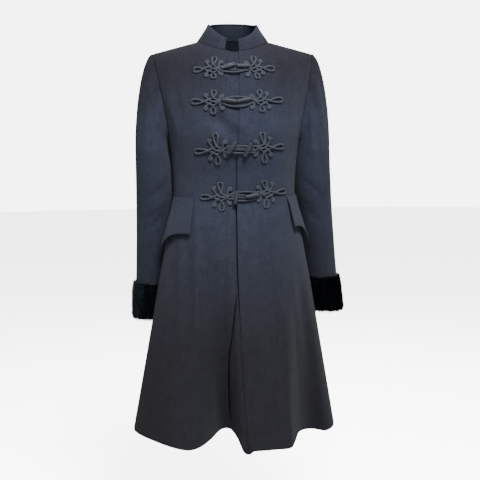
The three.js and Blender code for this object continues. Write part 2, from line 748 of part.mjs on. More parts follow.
// A knot lying flat: four loops whose cords cross at their feet, and two cords on the diagonals that end in
// curls. x runs away from the middle of the coat
function knotSolid(tall) {
  const upright = { ...knot.upright, length: knot.upright.length * tall };
  const loops = [knot.outer, upright, knot.inner, upright];
  const turnedBy = ([along, across], quarter) => {
    const [cosine, sine] = [[1, 0], [0, 1], [-1, 0], [0, -1]][quarter];
    return [along * cosine - across * sine, along * sine + across * cosine];
  };
  const pieces = loops.map((loop, quarter) => {
    const next = (quarter + 1) % 4;
    const leaving = halfLoop(loop, -1).map((place) => turnedBy(place, quarter));
    const arriving = halfLoop(loops[next], 1)
      .map((place) => turnedBy(place, next))
      .reverse();
    return flatCord([...leaving, ...arriving], 7);
  });
  [1, -1].forEach((slant) => pieces.push(flatCord(curledCord(slant, tall), 12)));
  return pieces.reduce((joined, piece) => joined.add(piece)).asOriginal();
}

// A cord from curl to curl through the middle of the knot
function curledCord(slant, tall) {
  const { curlPlace, curlRadius, curlStart, curlStep } = knot;
  const curl = [];
  for (let step = 0; step < 5; step += 1) {
    const angle = radians(curlStart + curlStep * step);
    curl.push([curlPlace + curlRadius * Math.cos(angle), curlPlace * tall + curlRadius * Math.sin(angle)]);
  }
  const there = curl.map(([x, y]) => [-x, -y]).reverse();
  return [...curl, [0, 0], ...there].map(([x, y]) => [x, y * slant]);
}

// Lays a flat knot on the coat: its base follows the cloth, and its height stands out from it
function laidKnot(name, flat, centreX, centreZ, sign) {
  const { vertProperties, triVerts } = flat.getMesh();
  const positions = [];
  for (let at = 0; at < vertProperties.length; at += 3) {
    const [x, y, up] = vertProperties.slice(at, at + 3);
    positions.push(...overFront(centreX + sign * x, centreZ + y, appliqueGap + up).toArray());
  }
  return namedMesh(name, facedOut(positions, [...triVerts]), braid);
}

// A loop of cord from one knot across the front: out along one strand, round, and back along the other
function loopMesh(frog, side) {
  const sign = sides[side];
  const centre = side === 'right' ? frog.rightX : frog.leftX;
  const other = side === 'right' ? frog.leftX : frog.rightX;
  const upward = side === 'right' ? 1 : -1;
  const { near, far } = loopStrands;
  const root = centre - sign * (knot.inner.length + cord / 2 + seamGap + loopCord / 2 + 1);
  const reach = other + sign * (knot.inner.length + cord / 2 + 4);
  const middle = (near + far) / 2;
  const places = [
    [root, near * 0.8],
    [mix(root, reach, 0.35), near],
    [mix(root, reach, 0.75), near],
    [reach + sign * 3, near + 0.4],
    [reach, middle],
    [reach + sign * 3, far - 0.4],
    [mix(root, reach, 0.6), far + 1],
    [mix(root, reach, 0.2), far],
    [root, far - 0.6],
  ].map(([x, up]) => overFront(x, frog.z + upward * up, loopLift));
  const section = new THREE.Shape();
  section.absarc(0, 0, loopCord / 2, 0, 2 * Math.PI);
  const path = new THREE.CatmullRomCurve3(places, false, 'centripetal');
  const geometry = new THREE.ExtrudeGeometry(section, {
    steps: 12,
    curveSegments: 3,
    extrudePath: path,
    bevelEnabled: false,
  });
  return namedMesh(`loop_${frog.name}_${side}`, geometry, braid);
}

// A wrapped toggle: a bar with tapered, rounded ends, its middle resting on the loops
function toggleMesh({ frog, side, startX, startZ, endX, endZ }) {
  const start = overFront(startX, startZ, toggleLift);
  const end = overFront(endX, endZ, toggleLift);
  const half = start.distanceTo(end) / 2;
  const { radius, shoulder } = toggle;
  const profile = [
    [0, -half],
    [radius * 0.7, -half + toggle.end],
    [radius * 0.92, -half + shoulder],
    [radius, 0],
    [radius * 0.92, half - shoulder],
    [radius * 0.7, half - toggle.end],
    [0, half],
  ].map(([out, up]) => new THREE.Vector2(out, up));
  const mesh = namedMesh(`toggle_${frog}_${side}`, new THREE.LatheGeometry(profile, 8), wrapped);
  mesh.position.copy(overFront((startX + endX) / 2, (startZ + endZ) / 2, toggleLift));
  mesh.quaternion.setFromUnitVectors(point(0, 1, 0), end.clone().sub(start).normalize());
  return mesh;
}

function frogMeshes() {
  return frogs.flatMap((frog) => {
    const flat = knotSolid(frog.tall);
    return [
      laidKnot(`knot_${frog.name}_right`, flat, frog.rightX, frog.z, -1),
      laidKnot(`knot_${frog.name}_left`, flat, frog.leftX, frog.z, 1),
      loopMesh(frog, 'right'),
      loopMesh(frog, 'left'),
    ];
  });
}

const coat = new THREE.Group();
coat.add(...bodice(), ...skirt(), collarMesh());
Object.keys(sides).forEach((side) => coat.add(...sleeve(side), cuffMesh(side), flapMesh(side)));
coat.add(...frogMeshes(), ...toggles.map(toggleMesh));

export default coat;
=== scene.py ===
import math

import bmesh
import bpy
import numpy as np
from mathutils import Matrix, Vector


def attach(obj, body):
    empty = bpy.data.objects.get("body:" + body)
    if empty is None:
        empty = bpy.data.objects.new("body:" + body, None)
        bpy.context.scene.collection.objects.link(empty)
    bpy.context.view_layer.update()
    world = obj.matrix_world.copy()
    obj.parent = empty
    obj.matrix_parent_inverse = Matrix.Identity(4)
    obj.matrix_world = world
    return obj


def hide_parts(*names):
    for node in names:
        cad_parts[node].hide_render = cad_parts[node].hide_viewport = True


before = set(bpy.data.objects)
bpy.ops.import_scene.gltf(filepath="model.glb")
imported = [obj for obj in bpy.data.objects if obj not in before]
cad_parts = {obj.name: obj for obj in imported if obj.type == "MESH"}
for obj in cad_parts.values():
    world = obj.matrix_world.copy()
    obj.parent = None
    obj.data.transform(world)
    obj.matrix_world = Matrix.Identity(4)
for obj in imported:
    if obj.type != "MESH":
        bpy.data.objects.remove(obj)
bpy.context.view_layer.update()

mm = 0.001  # lengths in the tables and in the surface functions are millimetres, meshes are in metres


# Rows of a table under the names of its columns
def table(columns, *rows):
    return [dict(zip(columns.split(), row)) for row in rows]


# The coat's own sizes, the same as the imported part's
body = {
    "cloth": 3,
    "seamGap": 0.3,
    "waist": -368,
    "underarm": -235,
    "hem": -957,
    "fullest": {"front": -222, "back": -165},
    "sideSeamBack": 3,
    "neckHalf": 83,
    "neckDepth": {"front": 75, "back": 60},
    "neckTop": {"front": 12, "back": 45},  # how far the shoulders' slope is above the neck hole's middle
    "shoulderTip": (190, -28),
    "shoulderSpread": 215,
    "armholeCut": 25,
    "armholeCurve": 0.55,
    "lap": (-18, 26),  # the right front's hidden edge, and where its plain part begins
    "lapInset": 3.7,
    "lapFades": (8, 28),
    "frontTurn": -2,  # the left skirt front's edge, and then the right one's hidden edge, in degrees
    "lapTurn": 6,
    "lapDrop": 9,  # how much lower the right front's hem hangs beside that edge
    "lapDropReach": 5,
}
bodyRings = table(
    "z halfWidth front back",
    (-957, 250, 176, 190),
    (-820, 227, 160, 166),
    (-660, 200, 143, 140),
    (-571, 185, 133, 125),
    (-494, 171, 125, 113),
    (-430, 160, 117, 102),
    (-368, 149.5, 108, 92),
    (-320, 151, 112, 94),
    (-270, 155, 125, 101),
    (-222, 163, 135, 107),
    (-165, 176, 137, 112),
)
frontEdge = table(
    "z x",
    (-368, -4), (-290, -4), (-222, -2), (-143, 3), (-20, 6),
)
# Where the hem runs, and how far down the skirt each of its folds begins
hemFolds = table(
    "turn x y z start",
    (-180, 0, 196, -960, 0.2),
    (-171, -26, 166, -957, 0.3),
    (-160, -76, 200, -959, 0.3),
    (-146, -108, 148, -956, 0.25),
    (-131, -168, 163, -957, 0.25),
    (-118, -176, 98, -954, 0.15),
    (-106, -218, 70, -955, 0.15),
    (-90, -257, 12, -948, 0.1),
    (-76, -248, -44, -945, 0.1),
    (-62, -213, -101, -945, 0.25),
    (-50, -168, -146, -949, 0.35),
    (-39, -130, -166, -951, 0.3),
    (-32, -102, -153, -949, 0.3),
    (-25, -73, -116, -943, 0.25),
    (-19, -46, -74, -935, 0.25),
    (-13, -24, -74, -935, 0.25),
    (-9, -12, -114, -945, 0.25),
    (-5, -4, -166, -956, 0.25),
    (-2, 9, -176, -957, 0.25),
    (6, 35, -176, -957, 0.3),
    (20, 78, -172, -957, 0.35),
    (33, 114, -164, -956, 0.3),
    (38, 130, -126, -952, 0.3),
    (43, 147, -78, -948, 0.3),
    (53, 180, -48, -952, 0.3),
    (66, 215, -58, -955, 0.35),
    (78, 241, -30, -954, 0.35),
    (90, 249, 14, -954, 0.3),
    (104, 222, 72, -955, 0.15),
    (117, 180, 104, -954, 0.15),
    (129, 174, 160, -957, 0.25),
    (143, 118, 152, -956, 0.25),
    (158, 84, 203, -960, 0.3),
    (170, 30, 170, -957, 0.3),
    (180, 0, 196, -960, 0.2),
)
foldGrowth = 1.4
arm = {
    "top": -260,
    "swingCurve": 1.2,
    "right": {"wrist": -681, "swing": 2},
    "left": {"wrist": -674, "swing": 44},
    "capSpring": 0.35,
    "capDrop": 1.25,
    "seams": (5, 13),
    "steps": 16,  # all round a sleeve, from its outer side over the front
    "stepWidth": 19,
    "spread": 1.3,
    "rows": 74,
    "capRows": 34,
    "capCurve": 1.25,
    "cuffShare": 0.8,
}
sleeveRings = table(
    "along x y halfWidth halfDepth",
    (0, 198, 14, 40.5, 62),
    (0.17, 194, 25, 44.5, 58),
    (0.34, 195, 44, 44, 54),
    (0.52, 199, 62, 41, 51),
    (0.7, 202, 86, 40, 49),
    (0.86, 204, 104, 40.5, 48),
    (1, 205, 114, 41, 48),
)
collar = {
    "endRight": -25,
    "endLeft": 8,
    "front": 27,
    "side": 42,
    "back": 38,
    "lean": 0.6,
    "gap": 0.5,
    "tuck": 1.6,
    "dip": 1.6,
    "flare": 3,
    "squeeze": 0.55,
}
flaps = {
    "right": {"frontX": 103, "sideTurn": 80, "frontLength": 84, "tipLength": 120, "gape": 0.8},
    "left": {"frontX": 118, "sideTurn": 80, "frontLength": 72, "tipLength": 112, "gape": 5.5},
    "liftTop": 0.5,
    "liftBottom": 13,
    "liftCurve": 1.3,
    "liftFront": 0.6,
    "flare": 2,
    "point": 3.2,
    "gapeTo": 0.5,
    "gapeCurve": 1.5,
    "gapeFrom": 0.35,
}
sides = {"right": -1, "left": 1}

# Creases of the front and of the back, seen square on, with their half-width and how far they stand out; a
# negative one is a trough
frontCreases = table(
    "from to wide out",
    ((-66, -170), (-2, -236), 17, -7.5),
    ((-30, -170), (10, -214), 12, 3.6),
    ((-78, -196), (-22, -250), 12, 3),
    ((34, -190), (14, -240), 12, -2.6),
    ((-148, -96), (-128, -196), 9, -2.6),
    ((-164, -120), (-140, -214), 7, 2.2),
    ((150, -92), (134, -190), 10, -1.8),
    ((-146, -238), (-120, -330), 12, -1.6),
    ((128, -250), (118, -352), 11, -1.5),
    ((-70, -300), (-96, -362), 12, -1),
    ((-150, -480), (-172, -740), 13, -6),
    ((-136, -450), (-150, -760), 9, 3.6),
    ((-122, -470), (-128, -740), 11, -5),
    ((-100, -430), (-106, -790), 9, 5),
    ((-80, -440), (-84, -700), 10, -4.4),
    ((-52, -430), (-54, -640), 12, 3.2),
    ((34, -440), (48, -860), 15, 3.6),
    ((70, -450), (92, -820), 13, -4.2),
    ((104, -480), (134, -880), 10, 1.2),
    ((142, -520), (190, -860), 14, -4.4),
)
backCreases = table(
    "from to wide out",
    ((-128, -90), (-118, -200), 11, -2.6),
    ((132, -96), (116, -190), 10, -2.2),
    ((-60, -60), (-30, -110), 13, -1.4),
    ((-92, -270), (-70, -350), 11, -1.8),
    ((84, -262), (74, -356), 12, -1.6),
    ((-112, -420), (-140, -740), 14, -3),
    ((-40, -440), (-52, -800), 12, 2.4),
    ((46, -430), (60, -780), 13, -2.4),
    ((120, -450), (150, -800), 15, 2.6),
)
# Creases of a sleeve, by the millimetres round it and the height
sleeveCreases = table(
    "from to wide out",
    ((83.6, -40), (76, -190), 8, -3.6),
    ((62.7, -50), (57, -230), 8, 2.6),
    ((41.8, -60), (41.8, -210), 9, -2.6),
    ((98.8, -110), (87.4, -280), 8, 2.2),
    ((79.8, -210), (57, -330), 9, -2.4),
    ((114, -330), (64.6, -372), 8, -2.4),
    ((117.8, -372), (60.8, -404), 7, 1.6),
    ((106.4, -410), (68.4, -446), 8, -1.8),
    ((45.6, -440), (53.2, -600), 9, -1.4),
    ((193.8, -300), (239.4, -350), 9, -2.2),
    ((190, -360), (243.2, -396), 8, -1.8),
    ((235.6, -80), (216.6, -220), 9, -2.6),
    ((269.8, -420), (262.2, -590), 12, -1.2),
)

# The rows and columns of a bodice panel: the share of the rows below the underarm, the steps along its top with
# those round the neck, and where its columns turn from upright to the shoulder's own
bodiceGrid = {
    "rows": 74,
    "columns": 60,
    "lapColumns": 10,
    "lowShare": 0.36,
    "closer": 1.3,
    "steps": 11,
    "neckSteps": 5,
    "turns": (0.3, 1),
}
# The narrow fold of the right front, and the slot along the left front's edge above it
frontFold = {
    "deep": 30,
    "wide": 0.75,
    "begins": (0.3, 0.55),
    "ends": (0.9, 1),
    "slotDeep": 12,
    "slotWide": 0.8,
    "slotAside": 0.1,
    "columns": (-16, 89),  # the turn from which the panel's columns lie closer, and how many do
}
foldTurns = table(
    "down turn",
    (0.33, -2.8), (0.44, -5), (0.56, -7.6), (0.68, -10.8), (0.8, -12), (0.95, -12.4),
)
# The slot beside the left front's edge on the bodice: how deep, how wide, and between which heights it opens
bodiceSlot = {"deep": 5, "wide": 1.8, "aside": 0.6, "opens": (262, 290)}

# Where the inside of a sleeve rests against the body
sleeveRests = table(
    "z wide out",
    (-285, 34, 2.3), (-372, 30, 3.6),
)


def stage(words):
    print("stage:", words)


def smooth(value, low, high):
    share = np.clip((value - low) / (high - low), 0, 1)
    return share * share * (3 - 2 * share)


def mix(low, high, share):
    return low + (high - low) * share


def bell(value, wide):
    return np.exp(-((value / wide) ** 2))


def unit(vectors):
    return vectors / np.linalg.norm(vectors, axis=-1, keepdims=True)


# A smooth curve through one column of a table, read at any places
def read(rows, by, at, column):
    places = np.array([row[by] for row in rows], float)
    values = np.array([row[column] for row in rows], float)
    slopes = np.empty(len(rows))
    slopes[1:-1] = (values[2:] - values[:-2]) / (places[2:] - places[:-2])
    slopes[0] = (values[1] - values[0]) / (places[1] - places[0])
    slopes[-1] = (values[-1] - values[-2]) / (places[-1] - places[-2])
    at = np.asarray(at, float)
    row = np.clip(np.searchsorted(places, at, side="left") - 1, 0, len(rows) - 2)
    span = places[row + 1] - places[row]
    part = np.clip((at - places[row]) / span, 0, 1)
    rest = 1 - part
    return rest * rest * ((1 + 2 * part) * values[row] + part * span * slopes[row]) + part * part * (
        (1 + 2 * rest) * values[row + 1] - rest * span * slopes[row + 1]
    )


def ring(z, column):
    return read(bodyRings, "z", z, column)


def joined(x, y, z):
    return np.stack(np.broadcast_arrays(x, y, z), axis=-1).astype(float)


def shoulderHeight(x, face):
    out = np.abs(x)
    tipX, tipZ = body["shoulderTip"]
    outside = tipZ * (out - body["neckHalf"]) / (tipX - body["neckHalf"])
    inside = body["neckTop"][face] * (1 - (out / body["neckHalf"]) ** 2)
    return np.where(out > body["neckHalf"], outside, inside)


def domeHalfWidth(face, climb):
    return mix(ring(body["fullest"][face], "halfWidth"), body["shoulderSpread"], np.sin(np.radians(climb)))


# Points of the bodice from turns in degrees: below the fullest line by height, above it by climb
def bodicePoints(face, turn, climb, z):
    full = body["fullest"][face]
    away = -1 if face == "front" else 1
    turn = np.radians(turn)
    above = climb >= 0
    rise = np.radians(np.maximum(climb, 0))
    lowX = ring(z, "halfWidth") * np.sin(turn)
    lowY = body["sideSeamBack"] + away * ring(z, face) * np.cos(turn)
    highX = domeHalfWidth(face, np.maximum(climb, 0)) * np.sin(turn)
    highY = body["sideSeamBack"] + away * ring(full, face) * np.cos(rise) * np.cos(turn)
    highZ = full + (shoulderHeight(highX, face) - full) * np.sin(rise)
    return joined(np.where(above, highX, lowX), np.where(above, highY, lowY), np.where(above, highZ, z))


def underarmClimb(face):
    return -4 if face == "front" else -25


def armholeClimb(face, share):
    return mix(underarmClimb(face), 90, share)


def armholeHeight(face, share):
    return mix(body["fullest"][face], body["underarm"], armholeClimb(face, share) / underarmClimb(face))


def armholeWidth(face, share):
    climb = armholeClimb(face, share)
    low = ring(armholeHeight(face, share), "halfWidth")
    return np.where(climb < 0, low, domeHalfWidth(face, np.maximum(climb, 0)))


def armholeTurn(face, share):
    cut = body["armholeCut"] * share ** body["armholeCurve"]
    return np.degrees(np.arcsin(1 - cut / armholeWidth(face, share)))


def topClimb(face, x):
    inside = np.clip(np.abs(x) / body["neckHalf"], 0, 1)
    depth = body["neckDepth"][face] * np.sqrt(1 - inside**2)
    ahead = ring(body["fullest"][face], face) * np.sqrt(1 - (x / body["shoulderSpread"]) ** 2)
    return np.where(np.abs(x) >= body["neckHalf"], 90.0, np.degrees(np.arccos(np.clip(depth / ahead, -1, 1))))


# A bodice panel as rows from the waist seam up; nearX gives its edge at a height, and lap the x of the hidden
# edge and of where the plain part begins
def bodicePanel(face, nearX, lap):
    steps, neckSteps, lowShare = bodiceGrid["steps"], bodiceGrid["neckSteps"], bodiceGrid["lowShare"]
    tip = body["shoulderTip"][0]
    column = np.linspace(0, steps, bodiceGrid["columns"])
    firstTurn = math.degrees(math.asin(nearX(0) / body["neckHalf"]))
    neckX = body["neckHalf"] * np.sin(np.radians(mix(firstTurn, 90, np.minimum(column, neckSteps) / neckSteps)))
    outX = mix(body["neckHalf"], tip, (column - neckSteps) / (steps - neckSteps))
    topX = np.where(column <= neckSteps, neckX, outX)
    rows = []
    for share in np.linspace(0, 1, bodiceGrid["rows"]):
        if share < lowShare:
            z, climb, blend, edgeTurn = mix(body["waist"], body["underarm"], share / lowShare), -1.0, 0.0, 90.0
            width = float(ring(z, "halfWidth"))
        else:
            up = ((share - lowShare) / (1 - lowShare)) ** bodiceGrid["closer"]
            climb, z = float(armholeClimb(face, up)), float(armholeHeight(face, up))
            blend, edgeTurn = float(smooth(up, *bodiceGrid["turns"])), float(armholeTurn(face, up))
            width = float(domeHalfWidth(face, climb)) if climb >= 0 else float(ring(z, "halfWidth"))
        armhole = width * math.sin(math.radians(edgeTurn)) / tip
        turnOf = lambda x: np.degrees(np.arcsin(np.minimum(1, x / width)))
        turn = mix(mix(turnOf(nearX(z)), edgeTurn, column / steps), turnOf(topX * armhole), blend)
        x = topX
        if lap:
            lapX = np.linspace(*lap, bodiceGrid["lapColumns"], endpoint=False)
            turn, x = np.concatenate([turnOf(lapX), turn]), np.concatenate([lapX, x])
        climbs = climb * mix(1, topClimb(face, x) / 90, blend) if climb >= 0 else np.full(len(x), climb)
        rows.append(bodicePoints(face, turn, climbs, z))
    return np.array(rows)


def skirtPoints(around, down):
    turn = np.mod(around + 180, 360) - 180
    ahead = np.abs(turn) <= 90
    across, deep = np.sin(np.radians(turn)), np.cos(np.radians(turn))

    def place(z):
        depth = np.where(ahead, ring(z, "front"), ring(z, "back"))
        return ring(z, "halfWidth") * across, body["sideSeamBack"] - depth * deep

    hereX, hereY = place(mix(body["waist"], body["hem"], down))
    hemX, hemY = place(body["hem"] + 0 * down)
    fold = {name: read(hemFolds, "turn", turn, name) for name in ("x", "y", "z", "start")}
    grown = np.maximum(0, (down - fold["start"]) / (1 - fold["start"])) ** foldGrowth
    return joined(
        hereX + (fold["x"] - hemX) * grown, hereY + (fold["y"] - hemY) * grown, mix(body["waist"], fold["z"], down)
    )


# A skirt panel as rows from the hem up, over the turns of its columns
def skirtPanel(turns, rows=96, closer=1.1):
    down, turn = np.meshgrid(np.linspace(1, 0, rows) ** closer, turns, indexing="ij")
    return skirtPoints(turn, down), turn, down


# Points of the armhole's edge, from the shoulder over the front to the underarm and back up
def armholePoints(step, sign):
    half = arm["steps"] / 2
    share = (np.abs(half - step) / half) ** arm["spread"]
    halves = [
        bodicePoints(face, armholeTurn(face, share), armholeClimb(face, share), armholeHeight(face, share))
        for face in ("front", "back")
    ]
    return np.where((step <= half)[..., None], *halves) * np.array([sign, 1, 1])


def sleevePoints(side, along, step):
    turn = step / arm["steps"] * 2 * math.pi
    at = {name: read(sleeveRings, "along", along, name) for name in ("x", "y", "halfWidth", "halfDepth")}
    across = at["x"] + arm[side]["swing"] * along ** arm["swingCurve"] + at["halfWidth"] * np.cos(turn)
    z = mix(arm["top"], arm[side]["wrist"], along)
    return joined(across * sides[side], at["y"] - at["halfDepth"] * np.sin(turn), z)


# Points of the sleeve's cap: a smooth way from the armhole to the top of the sleeve's own rings
def capPoints(side, part, step):
    sign = sides[side]
    start = armholePoints(step, sign) + np.array([0.1 * sign, 0, 0])
    end = sleevePoints(side, 0 * part, step)
    reach = np.linalg.norm(end - start, axis=-1, keepdims=True)
    part = part[..., None]
    rest = 1 - part
    place = start * (1 + 2 * part) * rest**2 + np.array([sign * arm["capSpring"], 0, 0]) * reach * part * rest**2
    return place + end * (1 + 2 * rest) * part**2 + np.array([0, 0, arm["capDrop"]]) * reach * part**2 * rest


# A strip of a sleeve as rows from the wrist up to the armhole, from one step round it to another
def sleeveStrip(side, low, high, columns):
    steps = np.linspace(low, high, columns)
    along, step = np.meshgrid(np.linspace(1, 0, arm["rows"]), steps, indexing="ij")
    part, capStep = np.meshgrid(np.linspace(1, 0, arm["capRows"])[1:] ** arm["capCurve"], steps, indexing="ij")
    cap = capPoints(side, part, np.mod(capStep, arm["steps"]))
    return np.concatenate([sleevePoints(side, along, step), cap]), np.concatenate([step, capStep])


def necklinePoints(angle):
    x = body["neckHalf"] * np.sin(angle)
    ahead = np.cos(angle) > 0
    halves = []
    for face in ("front", "back"):
        climb = topClimb(face, np.clip(x, -body["neckHalf"] + 0.01, body["neckHalf"] - 0.01))
        turn = np.degrees(np.arcsin(x / domeHalfWidth(face, climb)))
        halves.append(bodicePoints(face, turn, climb, 0 * climb))
    return np.where(ahead[..., None], *halves)


def collarPoints(rows=18, columns=150):
    low = math.asin(collar["endLeft"] / body["neckHalf"])
    high = 2 * math.pi + math.asin(collar["endRight"] / body["neckHalf"])
    share, angle = np.meshgrid(np.linspace(0, 1, rows), np.linspace(low, high, columns), indexing="ij")
    ahead, behind = np.maximum(0, np.cos(angle)), np.maximum(0, -np.cos(angle))
    tall = collar["side"] + (collar["front"] - collar["side"]) * ahead ** collar["dip"]
    tall = tall + (collar["back"] - collar["side"]) * behind
    inward = collar["lean"] * tall * share - (1 - share) ** 2 * collar["flare"]
    foot = necklinePoints(angle)
    gap = collar["gap"] - collar["tuck"] * behind
    return foot + joined(-np.sin(angle) * inward, np.cos(angle) * collar["squeeze"] * inward, gap + tall * share)


# Points of a flap: share goes down it and part from its front edge round to the side
def flapPoints(side, rows=30):
    sign, size = sides[side], flaps[side]
    share, part = np.meshgrid(np.linspace(1, 0, rows), np.linspace(0, 1, rows), indexing="ij")
    topTurn = math.degrees(math.asin(size["frontX"] / float(ring(body["waist"], "halfWidth"))))
    length = mix(size["frontLength"], size["tipLength"], part ** flaps["point"])
    z = body["waist"] - body["seamGap"] - length * share
    turn = np.radians(mix(topTurn - flaps["flare"] * share, size["sideTurn"], part))
    grown = share ** flaps["liftCurve"] * mix(flaps["liftFront"], 1, part)
    gape = np.clip(1 - part / flaps["gapeTo"], 0, 1) ** flaps["gapeCurve"] * smooth(share, 0, flaps["gapeFrom"])
    lift = mix(flaps["liftTop"], flaps["liftBottom"], grown) + body["cloth"] + size["gape"] * gape
    x = sign * (ring(z, "halfWidth") + lift) * np.sin(turn)
    return joined(x, body["sideSeamBack"] - (ring(z, "front") + lift) * np.cos(turn), z)


# How far creases raise the cloth at places on a plane; they fade over some way past their ends
def relief(creases, across, up, fades=30, endShare=0.25):
    height = 0 * across
    for crease in creases:
        start, end = np.array(crease["from"], float), np.array(crease["to"], float)
        line = end - start
        share = ((across - start[0]) * line[0] + (up - start[1]) * line[1]) / (line @ line)
        inside = np.clip(share, 0, 1)
        away = np.hypot(across - start[0] - inside * line[0], up - start[1] - inside * line[1])
        beyond = np.abs(share - inside) * np.linalg.norm(line)
        strength = np.minimum(1, 4 * inside * (1 - inside) + endShare)
        height = height + crease["out"] * strength * bell(away, crease["wide"]) * bell(beyond, fades)
    return height


def creased(points, creases):
    return relief(creases, points[..., 0], points[..., 2])


def frontDepth(x, z):
    full = body["fullest"]["front"]
    across = np.minimum(1, np.abs(x) / ring(z, "halfWidth"))
    low = body["sideSeamBack"] - ring(z, "front") * np.sqrt(1 - across**2)
    rise = np.clip((z - full) / (shoulderHeight(x, "front") - full), 0, 1)
    width = mix(ring(full, "halfWidth"), body["shoulderSpread"], rise)
    dome = np.sqrt((1 - rise**2) * np.maximum(0, 1 - (x / width) ** 2))
    return np.where(z <= full, low, body["sideSeamBack"] - ring(full, "front") * dome)


# Points over the front's cloth, out along its normal; cords bridge its deeper creases
def overFront(x, z, out, reach=2, bridged=-2.5):
    x, z, out = np.broadcast_arrays(np.asarray(x, float), np.asarray(z, float), np.asarray(out, float))
    slopeX = (frontDepth(x + reach, z) - frontDepth(x - reach, z)) / (2 * reach)
    slopeZ = (frontDepth(x, z + reach) - frontDepth(x, z - reach)) / (2 * reach)
    raised = out + np.maximum(relief(frontCreases, x, z), bridged)
    return joined(x, frontDepth(x, z), z) + unit(joined(slopeX, -1, slopeZ)) * raised[..., None]


def normalsOf(points, facing):
    across = np.gradient(points, axis=1, edge_order=2)
    up = np.gradient(points, axis=0, edge_order=2)
    return unit(np.cross(across, up) * facing)


# Lengths along the rows and columns of a grid, in millimetres
def gridLengths(points):
    across = np.zeros(points.shape[:2])
    up = np.zeros(points.shape[:2])
    across[:, 1:] = np.cumsum(np.linalg.norm(np.diff(points, axis=1), axis=-1), axis=1)
    up[1:] = np.cumsum(np.linalg.norm(np.diff(points, axis=0), axis=-1), axis=0)
    return across, up


# A mesh of a grid of points, its UVs in metres along the cloth
def gridMesh(name, points, facing, across, up):
    rows, columns = points.shape[:2]
    made = bmesh.new()
    uv = made.loops.layers.uv.new("UVMap")
    bmesh.ops.create_grid(made, x_segments=columns - 1, y_segments=rows - 1, size=0.5, calc_uvs=True)
    across = across - across.mean(axis=1, keepdims=True)
    cell = {
        vert: (round((vert.co.y + 0.5) * (rows - 1)), round((vert.co.x + 0.5) * (columns - 1))) for vert in made.verts
    }
    for vert, at in cell.items():
        vert.co = Vector(points[at]) * mm
    for face in made.faces:
        face.smooth = True
        for loop in face.loops:
            at = cell[loop.vert]
            loop[uv].uv = (across[at] * mm, up[at] * mm)
    if facing < 0:
        bmesh.ops.reverse_faces(made, faces=made.faces)
    mesh = bpy.data.meshes.new(name)
    made.to_mesh(mesh)
    made.free()
    return mesh


# A piece of the coat, in place of the node of the same name
def addPiece(name, mesh, slot, *finishes):
    piece = bpy.data.objects.new(name + "_look", mesh)
    bpy.context.scene.collection.objects.link(piece)
    for finish in finishes:
        mesh.materials.append(materials[finish])
    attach(piece, "root")
    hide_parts(name)
    return piece


# A row and a column more just inside each edge of a grid, so that the edges stay crisp
def crispEdges(points, across, up, inside=0.35):
    grid = np.concatenate([points, across[..., None], up[..., None]], axis=-1)
    for axis in (0, 1):
        rows = np.moveaxis(grid, axis, 0)
        extra = []
        for edge, following in ((0, 1), (-1, -2)):
            step = rows[following] - rows[edge]
            share = np.minimum(0.5, inside / np.linalg.norm(step[..., :3], axis=-1, keepdims=True))
            extra.append((rows[edge] + step * share)[None])
        rows = np.concatenate([rows[:1], extra[0], rows[1:-1], extra[1], rows[-1:]])
        grid = np.moveaxis(rows, 0, axis)
    return grid[..., :3], grid[..., 3], grid[..., 4]


# How deep the cloth dips where a sleeve is set in, where two panels meet and where the seam is pressed open, and
# how a seam and a free edge are shaped, by the distance from them
seamDips = {"set": 0.8, "seam": 0.5, "pressed": 0.1}
seamShape = {"wide": 2.6, "ridge": 0.3, "ridgeAt": 6.5, "ridgeWide": 2.2}
freeEdge = {"deep": 1.0, "wide": 1.8, "ridge": 0.45, "ridgeAt": 4, "ridgeWide": 3}


# Cloth along a grid of points: seams dip, free edges roll, and the wall lies inside the outer face
def clothPiece(name, points, facing, height, near, far, low, high):
    across, up = gridLengths(points)
    for kind, away in ((near, across), (far, across[:, -1:] - across), (low, up), (high, up[-1:] - up)):
        shape = freeEdge if kind == "free" else seamShape
        deep = shape["deep"] if kind == "free" else seamDips[kind]
        ridge = shape["ridge"] if kind == "free" else deep * shape["ridge"]
        height = height - deep * bell(away, shape["wide"]) + ridge * bell(away - shape["ridgeAt"], shape["ridgeWide"])
    shaped, across, up = crispEdges(points + normalsOf(points, facing) * height[..., None], across, up)
    outside = "sleeveWool" if name.startswith("sleeve") else "wool"
    piece = addPiece(name, gridMesh(name, shaped, facing, across, up), "wool", outside, "lining")
    wall = piece.modifiers.new("wall", "SOLIDIFY")
    wall.thickness = body["cloth"] * mm
    wall.offset = -1
    wall.material_offset = 1
    wall.material_offset_rim = 0


stage("tables and surfaces ready")


# A socket of a shader that takes part in sums
class Wire:
    def __init__(self, tree, socket):
        self.tree = tree
        self.socket = socket

    def maths(self, kind, *others, clamp=False):
        node = self.tree.nodes.new("ShaderNodeMath")
        node.operation = kind
        node.use_clamp = clamp
        for place, value in enumerate((self, *others)):
            if isinstance(value, Wire):
                self.tree.links.new(value.socket, node.inputs[place])
            else:
                node.inputs[place].default_value = value
        return Wire(self.tree, node.outputs[0])

    def __add__(self, other):
        return self.maths("ADD", other)

    def __sub__(self, other):
        return self.maths("SUBTRACT", other)

    def __mul__(self, other):
        return self.maths("MULTIPLY", other)

    def __truediv__(self, other):
        return self.maths("DIVIDE", other)

    def __neg__(self):
        return self * -1

    def __rsub__(self, other):
        return -self + other

    __radd__ = __add__
    __rmul__ = __mul__

    def between(self, low, high):
        return ((self - low) / (high - low)).maths("ADD", 0, clamp=True)


